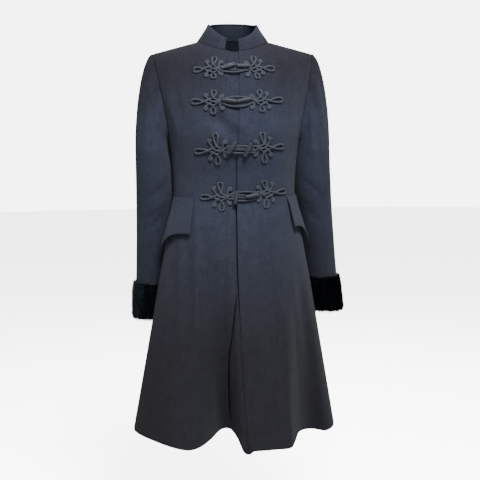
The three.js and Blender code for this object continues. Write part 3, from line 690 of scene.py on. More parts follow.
# A material being built: a Principled shader and whatever feeds it
class Shader:
    def __init__(self, name, **constants):
        self.material = bpy.data.materials.new(name)
        self.material.use_nodes = True
        self.tree = self.material.node_tree
        self.shader = self.tree.nodes["Principled BSDF"]
        self.set(**constants)

    # Any other node: its settings, its inputs, and the output asked for
    def node(self, kind, output=0, settings=None, **inputs):
        node = self.tree.nodes.new("ShaderNode" + kind)
        for name, value in (settings or {}).items():
            setattr(node, name, value)
        for name, value in inputs.items():
            self.feed(node.inputs[name.replace("_", " ")], value)
        return Wire(self.tree, node.outputs[output])

    def feed(self, socket, value):
        if isinstance(value, Wire):
            self.tree.links.new(value.socket, socket)
        else:
            socket.default_value = value

    def set(self, **inputs):
        for name, value in inputs.items():
            self.feed(self.shader.inputs[name.replace("_", " ")], value)

    def blend(self, share, low, high):
        node = self.tree.nodes.new("ShaderNodeMix")
        node.data_type = "RGBA"
        self.feed(node.inputs[0], share)
        self.feed(node.inputs[6], low)
        self.feed(node.inputs[7], high)
        return Wire(self.tree, node.outputs[2])

    def noise(self, vector, scale, detail, rough=0.5):
        return self.node("TexNoise", Vector=vector, Scale=scale, Detail=detail, Roughness=rough)

    def bump(self, height, distance, strength):
        return self.node("Bump", Height=height, Distance=distance, Strength=strength)

    # The three parts of a vector, as numbers
    def split(self, vector):
        parts = self.node("SeparateXYZ", Vector=vector).socket.node.outputs
        return [Wire(self.tree, part) for part in parts]


# Twill-woven wool: fine diagonal ribs, mixed fibres and a short nap, browner over the shoulders, with painted shade
# there, below and at the sides
def woolMaterial(look):
    made = Shader(look["name"], Sheen_Weight=look["sheen"], Sheen_Roughness=0.5, Specular_IOR_Level=0.0)
    u, v, _ = made.split(made.node("UVMap"))
    place = made.node("TexCoord", output=3)
    wobble = made.noise(place, 260, 2)
    turns = 2 * math.pi / look["rib"]
    rib = ((u * 0.8 + v) * turns + wobble * 2.2).maths("SINE")
    cross = ((u * 2.4 - v * 0.7) * turns + wobble * 3.0).maths("SINE")
    fibre = made.noise(place, 1900, 3, 0.7)
    cloud = made.noise(made.node("Mapping", Vector=place, Scale=(1, 1, 0.16)), 11, 3, 0.6)
    patch = made.noise(place, 38, 4, 0.65)
    fleck = made.noise(place, 430, 2, 0.75)
    weave = (rib * 0.5 + cross * 0.28 + 0.5).between(0.0, 1.0)
    shade = (weave * 0.3 + fibre * 0.6 + fleck * 2.4 + patch * 0.5 - 1.47).between(0.0, 0.9)
    beside, _, level = made.split(place)
    sideways = beside.maths("ABSOLUTE")
    level = level + (cloud - 0.5) * 0.12
    # Painted shade: darker and browner over the chest and shoulders, more so away from the middle
    crown = level.between(*look["crownFrom"]) - level.between(*look["crownTo"])
    crown = crown * (0.6 + sideways.between(*look["crownAside"]) * 0.4)
    # Painted shade: darker and greyer towards the hem
    foot = (-level).between(*look["dulls"])
    # Painted shade: darker towards the far sides, where the cloth turns from the light
    flank = sideways.between(*look["flankFrom"])
    tint = made.blend(cloud.between(0.32, 0.68), look["cool"], look["warm"])
    tint = made.blend(foot, made.blend(crown, tint, look["crown"]), look["foot"])
    light = made.blend(foot, made.blend(crown, look["light"], look["crownLight"]), look["footLight"])
    made.set(
        Base_Color=made.blend(flank * look["flank"], made.blend(shade * 0.8, tint, light), (0, 0, 0, 1)),
        Roughness=0.93 - fibre * 0.1,
        Normal=made.bump(weave * 0.6 + fibre * 0.8, look["rib"] * 0.32, 0.75),
    )
    return made.material


# Smooth lining with a faint weave and soft ripples
def liningMaterial(look):
    made = Shader(look["name"], Specular_IOR_Level=0.03)
    place = made.node("TexCoord", output=3)
    thread = made.node("TexWave", Vector=place, Scale=420.0, Distortion=1.5, Detail=1.0)
    cloud = made.noise(place, 14, 3)
    made.set(
        Base_Color=made.blend(cloud.between(0.3, 0.7), look["dark"], look["light"]),
        Roughness=0.5 + cloud * 0.15,
        Normal=made.bump(thread * 0.4 + cloud * 2.0, 0.0006, 0.5),
    )
    return made.material


# Braid and wound thread: plaits round the cord, which show as ribs along it
def braidMaterial(look):
    made = Shader(look["name"], Sheen_Weight=0.006, Sheen_Roughness=0.4, Specular_IOR_Level=look["shine"])
    u, v, _ = made.split(made.node("UVMap"))
    turns = 2 * math.pi / look["plait"]
    one = ((u + v * look["slant"]) * turns).maths("SINE")
    two = ((u - v * look["slant"]) * turns).maths("SINE")
    place = made.node("TexCoord", output=3)
    fibre = made.noise(place, 2600, 2)
    cloud = made.noise(place, 60, 2)
    plait = (one.maths("MAXIMUM", two) * 0.5 + 0.5).between(0.0, 1.0)
    shade = (plait * 0.6 + fibre * 0.3 + cloud * 0.2 - 0.05).between(0.0, 1.0)
    made.set(
        Base_Color=made.blend(shade, look["dark"], look["light"]),
        Roughness=look["rough"] + fibre * 0.2,
        Normal=made.bump(plait + fibre * 0.25, look["plait"] * 0.35, 0.9),
    )
    return made.material


# Fur: dark roots and paler tips, clumped in streaks that are partly painted sheen, and a painted sheen along the
# cuff's outer side
def furMaterial(look):
    made = Shader(look["name"], Specular_IOR_Level=0.0, Sheen_Weight=look["sheen"], Sheen_Roughness=0.3)
    tip = made.node("Attribute", output=2, settings={"attribute_name": "tip"})
    place = made.node("TexCoord", output=3)
    clump = made.noise(made.node("Mapping", Vector=place, Scale=(1, 1, 0.2)), 48, 3, 0.6)
    strand = made.noise(place, 900, 2)
    beside, _, _ = made.split(place)
    # Painted sheen: paler along the cuff's outer side
    brushed = (beside * look["side"] + (clump - 0.5) * 0.05).between(*look["brushed"])
    # Paler tips, and paler streaks up the clumps, partly the pile's own tone and partly painted sheen
    pale = (tip * 0.7 + clump * 0.9 - 0.55 + strand * 0.25).between(0.0, 1.0)
    made.set(
        Base_Color=made.blend(brushed * pale, made.blend(pale, look["dark"], look["light"]), look["sheer"]),
        Roughness=0.5 + strand * 0.2,
        Normal=made.bump(strand + clump, 0.0008, 0.6),
    )
    return made.material


# Colours are linear; rib and plait are the lengths of a pattern in metres
looks = {
    "wool": {
        "name": "woolTwill",
        "rib": 0.0014,
        "sheen": 0.005,
        "cool": (0.0014, 0.0016, 0.0029, 1),
        "warm": (0.0020, 0.0019, 0.0024, 1),
        "light": (0.0047, 0.0051, 0.0072, 1),
        # Colours for the painted shade over the chest and shoulders and towards the hem
        "crown": (0.0010, 0.0009, 0.0012, 1),
        "crownLight": (0.0029, 0.0027, 0.0035, 1),
        "foot": (0.0011, 0.0010, 0.0012, 1),
        "footLight": (0.0032, 0.0031, 0.0036, 1),
        # Where the painted shade over the chest and shoulders lies, and where that towards the hem begins
        "crownFrom": (-0.2, -0.07),
        "crownTo": (0.0, 0.03),
        "crownAside": (0.03, 0.1),
        "dulls": (0.4, 0.72),
        # How dark the painted shade at the sides gets, and over which widths it comes in
        "flank": 0.24,
        "flankFrom": (0.16, 0.235),
    },
    "lining": {"name": "satinLining", "dark": (0.0008, 0.0009, 0.0015, 1), "light": (0.0018, 0.0021, 0.003, 1)},
    "braid": {
        "name": "braidedCord",
        "plait": 0.0022,
        "slant": 1.3,
        "dark": (0.0008, 0.0009, 0.0012, 1),
        "light": (0.0062, 0.0067, 0.0081, 1),
        "shine": 0.01,
        "rough": 0.6,
    },
    "wrapped": {
        "name": "wrappedToggle",
        "plait": 0.0011,
        "slant": 0.05,
        "dark": (0.0004, 0.0004, 0.0005, 1),
        "light": (0.0026, 0.0027, 0.0036, 1),
        "shine": 0.026,
        "rough": 0.33,
    },
    "furRight": {
        "name": "furTeal",
        "sheen": 0.006,
        "dark": (0.0001, 0.00012, 0.00016, 1),
        "light": (0.0011, 0.0016, 0.0019, 1),
        # The painted sheen's colour, the way across it runs, and where it lies
        "sheer": (0.0068, 0.0086, 0.0094, 1),
        "side": -1,
        "brushed": (0.228, 0.27),
    },
    "furLeft": {
        "name": "furBlack",
        "sheen": 0.003,
        "dark": (0.00008, 0.00009, 0.00012, 1),
        "light": (0.0006, 0.0007, 0.0009, 1),
        # The painted sheen's colour, the way across it runs, and where it lies
        "sheer": (0.002, 0.0022, 0.0028, 1),
        "side": 1,
        "brushed": (0.275, 0.31),
    },
}
# The sleeves' wool: the same, but its painted shade towards the hem starts lower and that at the sides is lighter
looks["sleeveWool"] = {**looks["wool"], "name": "woolTwillSleeves", "dulls": (0.58, 1.0), "flank": 0.16}
makers = {
    "wool": woolMaterial,
    "sleeveWool": woolMaterial,
    "lining": liningMaterial,
    "braid": braidMaterial,
    "wrapped": braidMaterial,
    "furRight": furMaterial,
    "furLeft": furMaterial,
}
materials = {name: make(looks[name]) for name, make in makers.items()}
stage("materials ready")


# How far the right front's edge sinks under the left front
def lapDepth(x):
    return body["lapInset"] * (1 - smooth(-x, *body["lapFades"]))


def foldDepth(turn, down):
    lower = smooth(down, *frontFold["begins"])
    fold = bell(turn - read(foldTurns, "down", down, "turn"), frontFold["wide"])
    fold = fold * lower * (1 - smooth(down, *frontFold["ends"]))
    slot = bell(turn - body["frontTurn"] + frontFold["slotAside"], frontFold["slotWide"]) * (1 - lower)
    return frontFold["deep"] * fold + frontFold["slotDeep"] * slot


def buildBodice():
    left = bodicePanel("front", lambda z: float(read(frontEdge, "z", z, "x")), None)
    clothPiece("bodice_front_left", left, 1, creased(left, frontCreases), "free", "set", "pressed", "pressed")
    right = bodicePanel("front", lambda z: body["lap"][1], body["lap"]) * np.array([-1, 1, 1])
    fromEdge = right[..., 0] - read(frontEdge, "z", right[..., 2], "x") + bodiceSlot["aside"]
    slot = bodiceSlot["deep"] * bell(fromEdge, bodiceSlot["wide"]) * smooth(-right[..., 2], *bodiceSlot["opens"])
    height = creased(right, frontCreases) - lapDepth(right[..., 0]) - slot
    clothPiece("bodice_front_right", right, -1, height, "free", "set", "pressed", "pressed")
    for side in ("left", "right"):
        back = bodicePanel("back", lambda z: 0.0, None) * np.array([sides[side], 1, 1])
        height = creased(back, backCreases)
        clothPiece(f"bodice_back_{side}", back, -sides[side], height, "seam", "set", "pressed", "pressed")


skirtPanels = table(
    "name low high near far",
    ("skirt_front_left", body["frontTurn"], 90, "free", "seam"),
    ("skirt_front_right", -90, body["lapTurn"], "seam", "free"),
    ("skirt_back_left", 90, 180, "seam", "seam"),
    ("skirt_back_right", -180, -90, "seam", "seam"),
)


def buildSkirt(columns=96, fades=0.86):
    for panel in skirtPanels:
        lapped = panel["name"] == "skirt_front_right"
        turns = np.linspace(panel["low"], panel["high"], columns)
        if lapped:
            closer, count = frontFold["columns"]
            turns = np.concatenate([turns[turns < closer], np.linspace(closer, panel["high"], count)])
        points, turn, down = skirtPanel(turns)
        height = creased(points, frontCreases if "front" in panel["name"] else backCreases)
        height = height * (1 - smooth(down, fades, 1))
        if lapped:
            sink = foldDepth(turn, down) + lapDepth(points[..., 0])
            drop = 1 - smooth(np.abs(turn - body["frontTurn"]), 0, body["lapDropReach"])
            points = points + joined(0, sink, -body["lapDrop"] * drop * down)
        clothPiece(panel["name"], points, 1, height, panel["near"], panel["far"], "free", "pressed")


def buildSleeves(insideStep=8, insideWide=2.4):
    frontSeam, backSeam = arm["seams"]
    parts = {"under": (frontSeam, backSeam, 58), "top": (backSeam, frontSeam + arm["steps"], 60)}
    for side, sign in sides.items():
        for part, (low, high, columns) in parts.items():
            points, steps = sleeveStrip(side, low, high, columns)
            steps, z = np.mod(steps, arm["steps"]), points[..., 2]
            height = relief(sleeveCreases, steps * arm["stepWidth"], z)
            inside = bell(steps - insideStep, insideWide)
            for rest in sleeveRests:
                height = height + rest["out"] * inside * bell(z - rest["z"], rest["wide"])
            clothPiece(f"sleeve_{side}_{part}", points, -sign, height, "pressed", "pressed", "free", "set")


buildBodice()
buildSkirt()
buildSleeves()
stage("panels and sleeves built")

grid = collarPoints()
clothPiece("collar", grid, 1, 0 * grid[..., 0], "free", "free", "pressed", "free")
for side, sign in sides.items():
    grid = flapPoints(side)
    clothPiece(f"flap_{side}", grid, sign, 0 * grid[..., 0], "free", "free", "free", "seam")
stage("collar and flaps built")


# One mesh of several, closed where their edges meet
def joinMeshes(name, parts):
    whole = bmesh.new()
    for part in parts:
        whole.from_mesh(part)
        bpy.data.meshes.remove(part)
    bmesh.ops.remove_doubles(whole, verts=whole.verts, dist=1e-6)
    bmesh.ops.recalc_face_normals(whole, faces=whole.faces)
    mesh = bpy.data.meshes.new(name)
    whole.to_mesh(mesh)
    whole.free()
    return mesh


cuffSize = {"thick": 7.0, "gap": 0.5, "edge": 3.0, "corner": 2.0, "seeds": {"right": 3, "left": 8}}
# The hairs of a cuff: how far they start in the core and past its ends, and how they lean out, down and about
hair = {
    "count": 30000,
    "long": 6.5,
    "wide": 0.55,
    "sunk": 0.6,
    "past": 0.06,
    "out": 0.62,
    "down": 0.75,
    "aside": 0.22,
    "stray": 0.12,
    "lengths": (0.7, 1.1),
    "clumpUp": 0.25,
    "clumpAside": 0.5,
    "clumpLong": 0.12,
    "ends": 0.8,  # how far those at the ends are moved up or down, of the core's edge
}
# The waves, round a cuff and up it, by which its hairs gather
clumps = table(
    "around up share",
    (5.1, 3, 0.5), (11.7, -7, 0.35), (0, 19, 0.3),
)


def outward(side, step):
    turn = step / arm["steps"] * 2 * math.pi
    return joined(np.cos(turn) * sides[side], -np.sin(turn), 0)


# Points round the end of a sleeve, by the share of the cuff's height: out from the sleeve, and moved up
def cuffPoints(side, share, step, out, up):
    place = sleevePoints(side, mix(1, arm["cuffShare"], share), step)
    return place + outward(side, step) * (out + cuffSize["gap"])[..., None] + joined(0, 0, up)


def cuffCore(side, columns=65):
    thick, edge, low = cuffSize["thick"], cuffSize["edge"], cuffSize["thick"] - cuffSize["corner"]
    profile = table(
        "share out up",
        (0, 0, 0), (0, edge, -edge), (0, low, 0), (0.25, thick, 0), (0.5, thick, 0), (0.75, thick, 0),
        (1, low, 0), (1, edge, edge), (1, 0, 0), (0.5, 0, 0), (0, 0, 0),
    )
    step = np.linspace(0, arm["steps"], columns)
    share, out, up = (np.array([[row[name]] for row in profile]) + 0 * step for name in ("share", "out", "up"))
    points = cuffPoints(side, share, step, out, up)
    name = f"cuff_{side}"
    return joinMeshes(name, [gridMesh(name + "_core", points, -sides[side], *gridLengths(points))])


# The hairs of a cuff, three points each, the tip last
def cuffHairs(side):
    seed, count, edge = cuffSize["seeds"][side], hair["count"], cuffSize["edge"]
    random = np.random.default_rng(seed)
    around = random.uniform(0, arm["steps"], count)
    share = random.uniform(-hair["past"], 1 + hair["past"], count)
    inside = np.clip(share, 0, 1)
    past = 1 + 2 * hair["past"]
    end = np.clip(np.abs(share - 0.5) * 2, 0, past)
    out = cuffSize["thick"] - cuffSize["corner"] * smooth(end, 0.8, 1) - edge * smooth(end, 1, past)
    wave = 1.6 * np.sin(around * 1.9 + seed) + 1.1 * np.sin(around * 4.3 + 2 * seed)
    raised = edge * hair["ends"]
    lift = np.where(share > 1 - hair["past"], raised + wave, np.where(share < 0, -raised, 0))
    root = cuffPoints(side, inside, around, out - hair["sunk"], lift)
    clump = sum(each["share"] * np.sin(around * each["around"] + inside * each["up"]) for each in clumps)
    rise = hair["clumpUp"] * clump - hair["down"] + 2 * hair["down"] * smooth(share, 0.97, 1.03)
    rise = rise + np.where(share > 1, 0.6, 0) - np.where(share < 0, 0.4, 0)
    aside = hair["clumpAside"] * clump + random.normal(0, hair["aside"], count)
    away = outward(side, around)
    direction = away * hair["out"] + joined(0, 0, rise) + np.cross((0, 0, 1), away) * aside[:, None]
    direction = unit(direction + random.normal(0, hair["stray"], (count, 3)))
    long = hair["long"] * random.uniform(*hair["lengths"], count) * (1 + hair["clumpLong"] * clump)
    across = unit(np.cross(direction, random.normal(0, 1, (count, 3)))) * hair["wide"] / 2
    return np.stack([root - across, root + across, root + direction * long[:, None]], axis=1).reshape(-1, 3)


def buildCuff(side):
    core, points = cuffCore(side), cuffHairs(side)
    pile = bpy.data.meshes.new("pile")
    pile.from_pydata((points * mm).tolist(), [], np.arange(len(points)).reshape(-1, 3).tolist())
    for mesh, tips in ((core, np.zeros(len(core.vertices))), (pile, np.tile([0, 0, 1], hair["count"]))):
        mesh.attributes.new("tip", "FLOAT", "POINT").data.foreach_set("value", tips.astype(np.float32))
    both = bmesh.new()
    both.from_mesh(core)
    both.from_mesh(pile)
    both.to_mesh(core)
    both.free()
    bpy.data.meshes.remove(pile)
    addPiece(f"cuff_{side}", core, "fur", "furRight" if side == "right" else "furLeft")


for side in sides:
    buildCuff(side)
stage("cuffs built")

# The knots' cord: how high it rises where it crosses over, and for the outer, upper, inner and lower loop
# how far from the knot's middle it crosses and how wide its head is
frogCord = {
    "radius": 2.35,
    "rise": 3.2,
    "step": 1.1,
    "lift": 2.5,
    "crossing": (20, 9.2, 15, 9.2),
    "crossingMost": 0.56,
    "head": (5.4, 5.2, 5, 5.2),
    "tip": 5,
}
# The curls, from their outer end inwards: how far their points turn in degrees, and how much each one shrinks
curlSize = {"radius": 3.9, "shrink": 0.058, "turn": 50, "start": 0.9, "points": 12, "lift": -0.3}
# Each knot: its middle on the front, then the holes of its loops and curls beside that middle, away from the
# coat's middle and up; loops are outer, upper, inner and lower, curls outer-upper, inner-upper, outer-lower and
# inner-lower
knots = table(
    "frog side x z loops curls",
    ("first", "right", -55.8, -72.5, [(37.9, -1), (-4.7, 23.3), (-19, 0), (-0.4, -16.9)],
     [(11, 16.5), (-20, 15.5), (15, -14), (-18, -10.9)]),
    ("first", "left", 38.6, -71.5, [(43.2, 0), (0.4, 23.4), (-19, 0), (6.8, -18.8)],
     [(15.7, 16.9), (-18, 12), (20, -10.5), (-16, -14.3)]),
    ("second", "right", -57.6, -147.3, [(42.9, 1), (-1.9, 21), (-19, 0), (1.2, -22.3)],
     [(15, 14.8), (-20, 12), (17, -15), (-20.5, -14.5)]),
    ("second", "left", 49.4, -146.4, [(48.1, 3), (-1.4, 19.8), (-19, 0), (3.9, -19.6)],
     [(15.3, 16.9), (-20, 11), (20.4, -13.8), (-20, -14)]),
    ("third", "right", -50.8, -256.8, [(43.7, -2), (3.6, 33.5), (-20, 0), (-2.4, -28.4)],
     [(16, 21.5), (-18.5, 17.9), (14, -19.5), (-20.5, -13)]),
    ("third", "left", 56.6, -252.3, [(43.9, 2), (-3.6, 29.6), (-20, 0), (2.3, -29.7)],
     [(14, 20.5), (-20, 14), (17, -16), (-20, -15.2)]),
    ("fourth", "right", -40.3, -366.5, [(41.9, 0), (2.7, 30), (-20, 0), (0, -26.9)],
     [(16.6, 21), (-19.9, 18), (15.8, -19), (-19, -14)]),
    ("fourth", "left", 66, -360, [(43.3, 3), (-6.3, 26.1), (-20, 0), (-2, -28.8)],
     [(13, 22), (-21, 14), (16, -17.5), (-20.5, -15.3)]),
)


# A smooth path through points, about one step apart
def smoothPath(places, step):
    places = np.array(places, float)
    ends = np.concatenate([[2 * places[0] - places[1]], places, [2 * places[-1] - places[-2]]])
    at = np.concatenate([[0], np.cumsum(np.sqrt(np.linalg.norm(np.diff(ends, axis=0), axis=1) + 1e-9))])

    def between(first, second, low, high, here):
        return mix(first, second, (here - at[low]) / (at[high] - at[low]))

    path = []
    for k in range(1, len(ends) - 2):
        count = max(2, int(np.linalg.norm(ends[k + 1] - ends[k]) / step))
        for here in np.linspace(at[k], at[k + 1], count, endpoint=False):
            lines = [between(ends[n - 1], ends[n], n - 1, n, here) for n in range(k, k + 3)]
            bends = [between(lines[n], lines[n + 1], k - 1 + n, k + 1 + n, here) for n in range(2)]
            path.append(between(*bends, k, k + 1, here))
    path.append(ends[-2])
    return np.array(path)


# How full a cord is near its rounded ends
def endCap(fromEnd, reach, least=0.02):
    return np.maximum(least, np.sqrt(np.clip(1 - (1 - np.minimum(fromEnd / reach, 1)) ** 2, 0, 1)))


# A tube along a path, from its direction and its half-width at each place; its UVs run round it only
def tubeMesh(name, path, tangent, halfWidth, radius, columns):
    side = unit(np.cross(tangent, (0, -1, 0)))
    up = np.cross(side, tangent)
    turn = np.linspace(0, 2 * math.pi, columns)[:, None]
    rings = np.cos(turn) * side[:, None] + np.sin(turn) * up[:, None]
    points = path[:, None] + rings * halfWidth[:, None, None]
    around = np.broadcast_to(turn[:, 0] * radius, points.shape[:2])
    return gridMesh(name, points, 1, 0 * around, around)


def cordMesh(name, path, radius, columns=11):
    length = np.concatenate([[0], np.cumsum(np.linalg.norm(np.diff(path, axis=0), axis=1))])
    halfWidth = radius * endCap(np.minimum(length, length[-1] - length), radius)
    return tubeMesh(name, path, unit(np.gradient(path, axis=0)), halfWidth, radius, columns)


# Half of one knot loop from its tip to the crossing at its foot, in the loop's own directions
def halfLoop(loop, bent, height):
    crossing, tip, wide = loop["crossing"], loop["tip"], loop["wide"]
    headAt = tip - wide
    span = headAt - crossing

    def at(along, across, up):
        return (along, across * bent + loop["lean"] * smooth(along, 0.4 * crossing, headAt), up)

    return [
        at(tip, 0, 0),
        at(tip - 0.3 * wide, wide * 0.72, 0),
        at(headAt, wide, 0),
        at(crossing + 0.55 * span, wide * 0.8, 0),
        at(crossing + 0.22 * span, wide * 0.34, height * 0.5),
        at(crossing, 0, height),
    ]


# The six cords of a knot: one for each pair of neighbouring loops, and two that end in curls
def knotPaths(row):
    rise = frogCord["rise"]
    quarterTurns = ((1, 0), (0, 1), (-1, 0), (0, -1))
    loops = []
    for (along, up), (cosine, sine), crossing, wide in zip(
        row["loops"], quarterTurns, frogCord["crossing"], frogCord["head"]
    ):
        tip = along * cosine + up * sine + frogCord["tip"]
        crossing = min(crossing, frogCord["crossingMost"] * tip)
        lean = up * cosine - along * sine
        loops.append({"way": (cosine, sine), "tip": tip, "lean": lean, "crossing": crossing, "wide": wide})

    def placed(points, loop):
        cosine, sine = loop["way"]
        return [(a * cosine - b * sine, a * sine + b * cosine, c) for a, b, c in points]

    paths = []
    for loop, following in zip(loops, loops[1:] + loops[:1]):
        leaving = placed(halfLoop(loop, -1, rise), loop)
        arriving = placed(halfLoop(following, 1, 0), following)[::-1]
        middle = placed([(loop["crossing"] * 0.5, following["crossing"] * 0.5, 0)], loop)
        paths.append(leaving + middle + arriving)
    for indices, centreUp in (((0, 3), rise * 0.8), ((1, 2), -0.4)):
        curls, inner = [], []
        for index in indices:
            curlX, curlZ = row["curls"][index]
            turnWay = (1 if curlX * curlZ > 0 else -1) * (1 if index in (0, 2) else -1)
            curl = []
            for step in range(curlSize["points"]):
                turned = math.radians(curlSize["turn"]) * step + curlSize["start"]
                angle = math.atan2(curlZ, curlX) + math.pi + turnWay * turned
                radius = curlSize["radius"] * (1 - curlSize["shrink"] * step)
                curl.append((curlX + radius * math.cos(angle), curlZ + radius * math.sin(angle), curlSize["lift"]))
            curls.append(curl)
            inner.append((curlX * 0.6, curlZ * 0.24, -0.6))
        paths.append(curls[0][::-1] + [inner[0], (0, 0, centreUp), inner[1]] + curls[1])
    return paths


def buildKnot(row):
    sign = sides[row["side"]]
    name = f"knot_{row['frog']}_{row['side']}"
    cords = []
    for index, places in enumerate(knotPaths(row)):
        flat = smoothPath(places, frogCord["step"])
        path = overFront(row["x"] + sign * flat[:, 0], row["z"] + flat[:, 1], frogCord["lift"] + flat[:, 2])
        cords.append(cordMesh(f"{name}_{index}", path, frogCord["radius"]))
    addPiece(name, joinMeshes(name, cords), "braid", "braid")


# Loops from each knot across the front, as places seen from the front with their height over the cloth
loopCord = {"radius": 2.3, "step": 1.4}
loopPaths = {
    "loop_first_right": [
        (-36, -68, 3), (-24, -64.5, 3.5), (-6, -63.5, 4), (12, -64.5, 4.5), (26, -67, 5), (31, -70.5, 4.5),
        (25, -73.8, 3.2), (8, -75, 3), (-12, -74.5, 3), (-36, -72, 3),
    ],
    "loop_first_left": [
        (22, -74.5, 3), (8, -79, 3.5), (-8, -80.4, 4), (-24, -80, 4.5), (-36, -78, 5), (-40.5, -74.5, 5),
        (-36, -71.5, 3), (-20, -70.3, 2.8), (2, -71, 2.8), (22, -70.5, 3),
    ],
    "loop_second_right": [
        (-38, -143, 3), (-26, -139.5, 4), (-8, -137.4, 4.5), (12, -138, 4.5), (26, -140, 5), (31, -143.5, 5),
        (26, -147.5, 3.2), (6, -151, 3), (-16, -150, 3), (-38, -147.5, 3),
    ],
    "loop_second_left": [
        (30, -150, 3), (18, -156, 3.6), (0, -158.8, 4), (-18, -158, 4.2), (-32, -153.5, 4.6),
        (-37.5, -149, 4.6), (-33, -147, 3), (-14, -153, 3), (6, -154.2, 3), (30, -147, 3),
    ],
    "loop_third_right": [
        (-31, -249, 3), (-20, -248, 4), (-4, -247.2, 4.6), (10, -247.5, 5), (20, -249.5, 5.4),
        (23.5, -253.5, 5), (17, -256.5, 3.6), (0, -256, 3.2), (-16, -255, 3), (-31, -253.5, 3),
    ],
    "loop_third_left": [
        (38, -262, 3), (24, -262.5, 4), (6, -263.5, 4.6), (-10, -262.5, 5), (-20, -260, 5.2),
        (-23.5, -256.5, 5), (-17, -253, 3.6), (0, -252, 3.4), (16, -255, 3), (38, -258, 3),
    ],
    "loop_fourth_right": [
        (-21, -361, 3), (-10, -357, 4), (8, -354.5, 4.4), (26, -355.2, 4.6), (40, -358, 5), (44.5, -361.5, 4.6),
        (38, -364.4, 3.2), (18, -363.6, 3), (0, -362, 3), (-21, -365, 3),
    ],
    "loop_fourth_left": [
        (47, -368, 3), (34, -373, 4), (16, -375.6, 4.4), (0, -375.5, 5), (-11, -374, 5.4), (-15.5, -370.5, 5.4),
        (-10, -367.5, 4), (8, -368.5, 3.2), (26, -370, 3), (47, -364.5, 3),
    ],
}
toggleRows = table(
    "name from to out",
    ("toggle_first_right", (-38, -74.2), (-5.5, -66), (9.2, 9.6)),
    ("toggle_first_left", (-3, -69.4), (29, -69), (9.8, 9.2)),
    ("toggle_second_right", (-38.5, -144), (-4, -148.8), (9, 9.6)),
    ("toggle_second_left", (-5.5, -148.6), (30, -141.6), (9.8, 9)),
    ("toggle_third_right", (-27, -264.5), (-8.5, -236), (10.2, 10.2)),
    ("toggle_third_left", (9.5, -271), (26, -239), (10.2, 10.2)),
    ("toggle_fourth_right", (-10.8, -385), (-4.2, -350.5), (10.4, 10.4)),
    ("toggle_fourth_left", (13, -367.2), (46, -360.4), (9.6, 9.4)),
)
toggleSize = {"radius": 5.2, "end": 2.5, "endShare": 0.8, "sag": 0.6, "wrap": 1.3, "wrapShare": 0.035, "bare": 1.5}


def buildLoop(name, places):
    flat = smoothPath(places, loopCord["step"])
    path = overFront(flat[:, 0], flat[:, 1], flat[:, 2])
    addPiece(name, joinMeshes(name, [cordMesh(name + "_cord", path, loopCord["radius"])]), "braid", "braid")


# A toggle: a bar wound with thread, fuller in its middle, with rounded ends
def buildToggle(row):
    start, end = (overFront(*row[key], out) for key, out in zip(("from", "to"), row["out"]))
    middle = overFront(*((np.array(row["from"]) + np.array(row["to"])) / 2), sum(row["out"]) / 2)
    share = np.linspace(0, 1, 130)
    sag = (middle - (start + end) / 2) * toggleSize["sag"]
    path = mix(start, end, share[:, None]) + sag * (4 * share * (1 - share))[:, None]
    length = np.linalg.norm(end - start)
    fromEnd = np.minimum(share, 1 - share) * length
    full = mix(toggleSize["endShare"], 1, smooth(fromEnd, 0, length / 2))
    wraps = np.abs(np.sin(share * length / toggleSize["wrap"] * math.pi)) * (fromEnd > toggleSize["bare"])
    halfWidth = toggleSize["radius"] * full * endCap(fromEnd, toggleSize["end"])
    halfWidth = halfWidth * (1 + toggleSize["wrapShare"] * wraps)
    tangent = np.broadcast_to(unit(end - start), path.shape)
    bar = tubeMesh(row["name"] + "_bar", path, tangent, halfWidth, toggleSize["radius"], 19)
    addPiece(row["name"], joinMeshes(row["name"], [bar]), "wrapped", "wrapped")


for row in knots:
    buildKnot(row)
for name, places in loopPaths.items():
    buildLoop(name, places)
for row in toggleRows:
    buildToggle(row)
stage("frogs built")

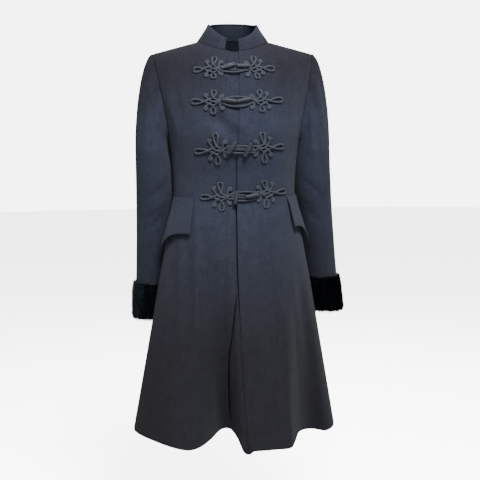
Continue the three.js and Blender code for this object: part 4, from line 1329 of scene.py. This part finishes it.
# Where the camera stands, how far it turns to the right, down and about its axis, and its lens
view = {"place": (-0.2287, -2.176, -0.234), "heading": 6.338, "down": 6.4, "roll": -0.6, "lens": 67}
camera = bpy.data.objects.new("camera", bpy.data.cameras.new("camera"))
camera.data.lens = view["lens"]
camera.data.sensor_width = 36
camera.data.clip_end = 60
turned = (
    Matrix.Rotation(math.radians(-view["heading"]), 4, "Z")
    @ Matrix.Rotation(math.radians(90 - view["down"]), 4, "X")
    @ Matrix.Rotation(math.radians(view["roll"]), 4, "Z")
)
camera.matrix_world = Matrix.Translation(view["place"]) @ turned
bpy.context.scene.collection.objects.link(camera)
bpy.context.scene.camera = camera

floorLook = Shader("paleFloor", Specular_IOR_Level=0.0)
grain = floorLook.noise(floorLook.node("TexCoord", output=3), 3, 2)
floorLook.set(Base_Color=floorLook.blend(grain, (0.68, 0.68, 0.68, 1), (0.7, 0.7, 0.7, 1)), Roughness=0.9)
floorMesh = bmesh.new()
bmesh.ops.create_circle(floorMesh, cap_ends=True, segments=96, radius=14)
bmesh.ops.translate(floorMesh, verts=floorMesh.verts, vec=Vector((0, 0, -1.45)))
floorData = bpy.data.meshes.new("floor")
floorMesh.to_mesh(floorData)
floorMesh.free()
floor = bpy.data.objects.new("floor", floorData)
floor.data.materials.append(floorLook.material)
bpy.context.scene.collection.objects.link(floor)

world = bpy.data.worlds.new("studio")
world.use_nodes = True
world.node_tree.nodes["Background"].inputs["Color"].default_value = (1.0, 0.995, 0.985, 1)
world.node_tree.nodes["Background"].inputs["Strength"].default_value = 6.2
bpy.context.scene.world = world

# The lamps: places and sizes in metres, and power in watts
lamps = [
    {"name": "key", "place": (0.16, -1.66, 1.3), "size": 0.7, "power": 1150, "colour": (0.86, 0.94, 1)},
    {"name": "side", "place": (-1.9, -0.6, 0.7), "size": 1.2, "power": 45, "colour": (1, 0.98, 0.95)},
    {"name": "back", "place": (0.9, 2.4, 1.6), "size": 1.6, "power": 420, "colour": (0.94, 0.97, 1)},
]
for lamp in lamps:
    light = bpy.data.lights.new(lamp["name"], "AREA")
    light.shape = "SQUARE"
    light.size = lamp["size"]
    light.energy = lamp["power"]
    light.color = lamp["colour"]
    source = bpy.data.objects.new(lamp["name"], light)
    source.location = lamp["place"]
    aim = Vector((0, 0, -0.3)) - Vector(lamp["place"])
    source.rotation_euler = aim.to_track_quat("-Z", "Y").to_euler()
    bpy.context.scene.collection.objects.link(source)
stage("camera, floor and lights ready")

stage("cloth declared")
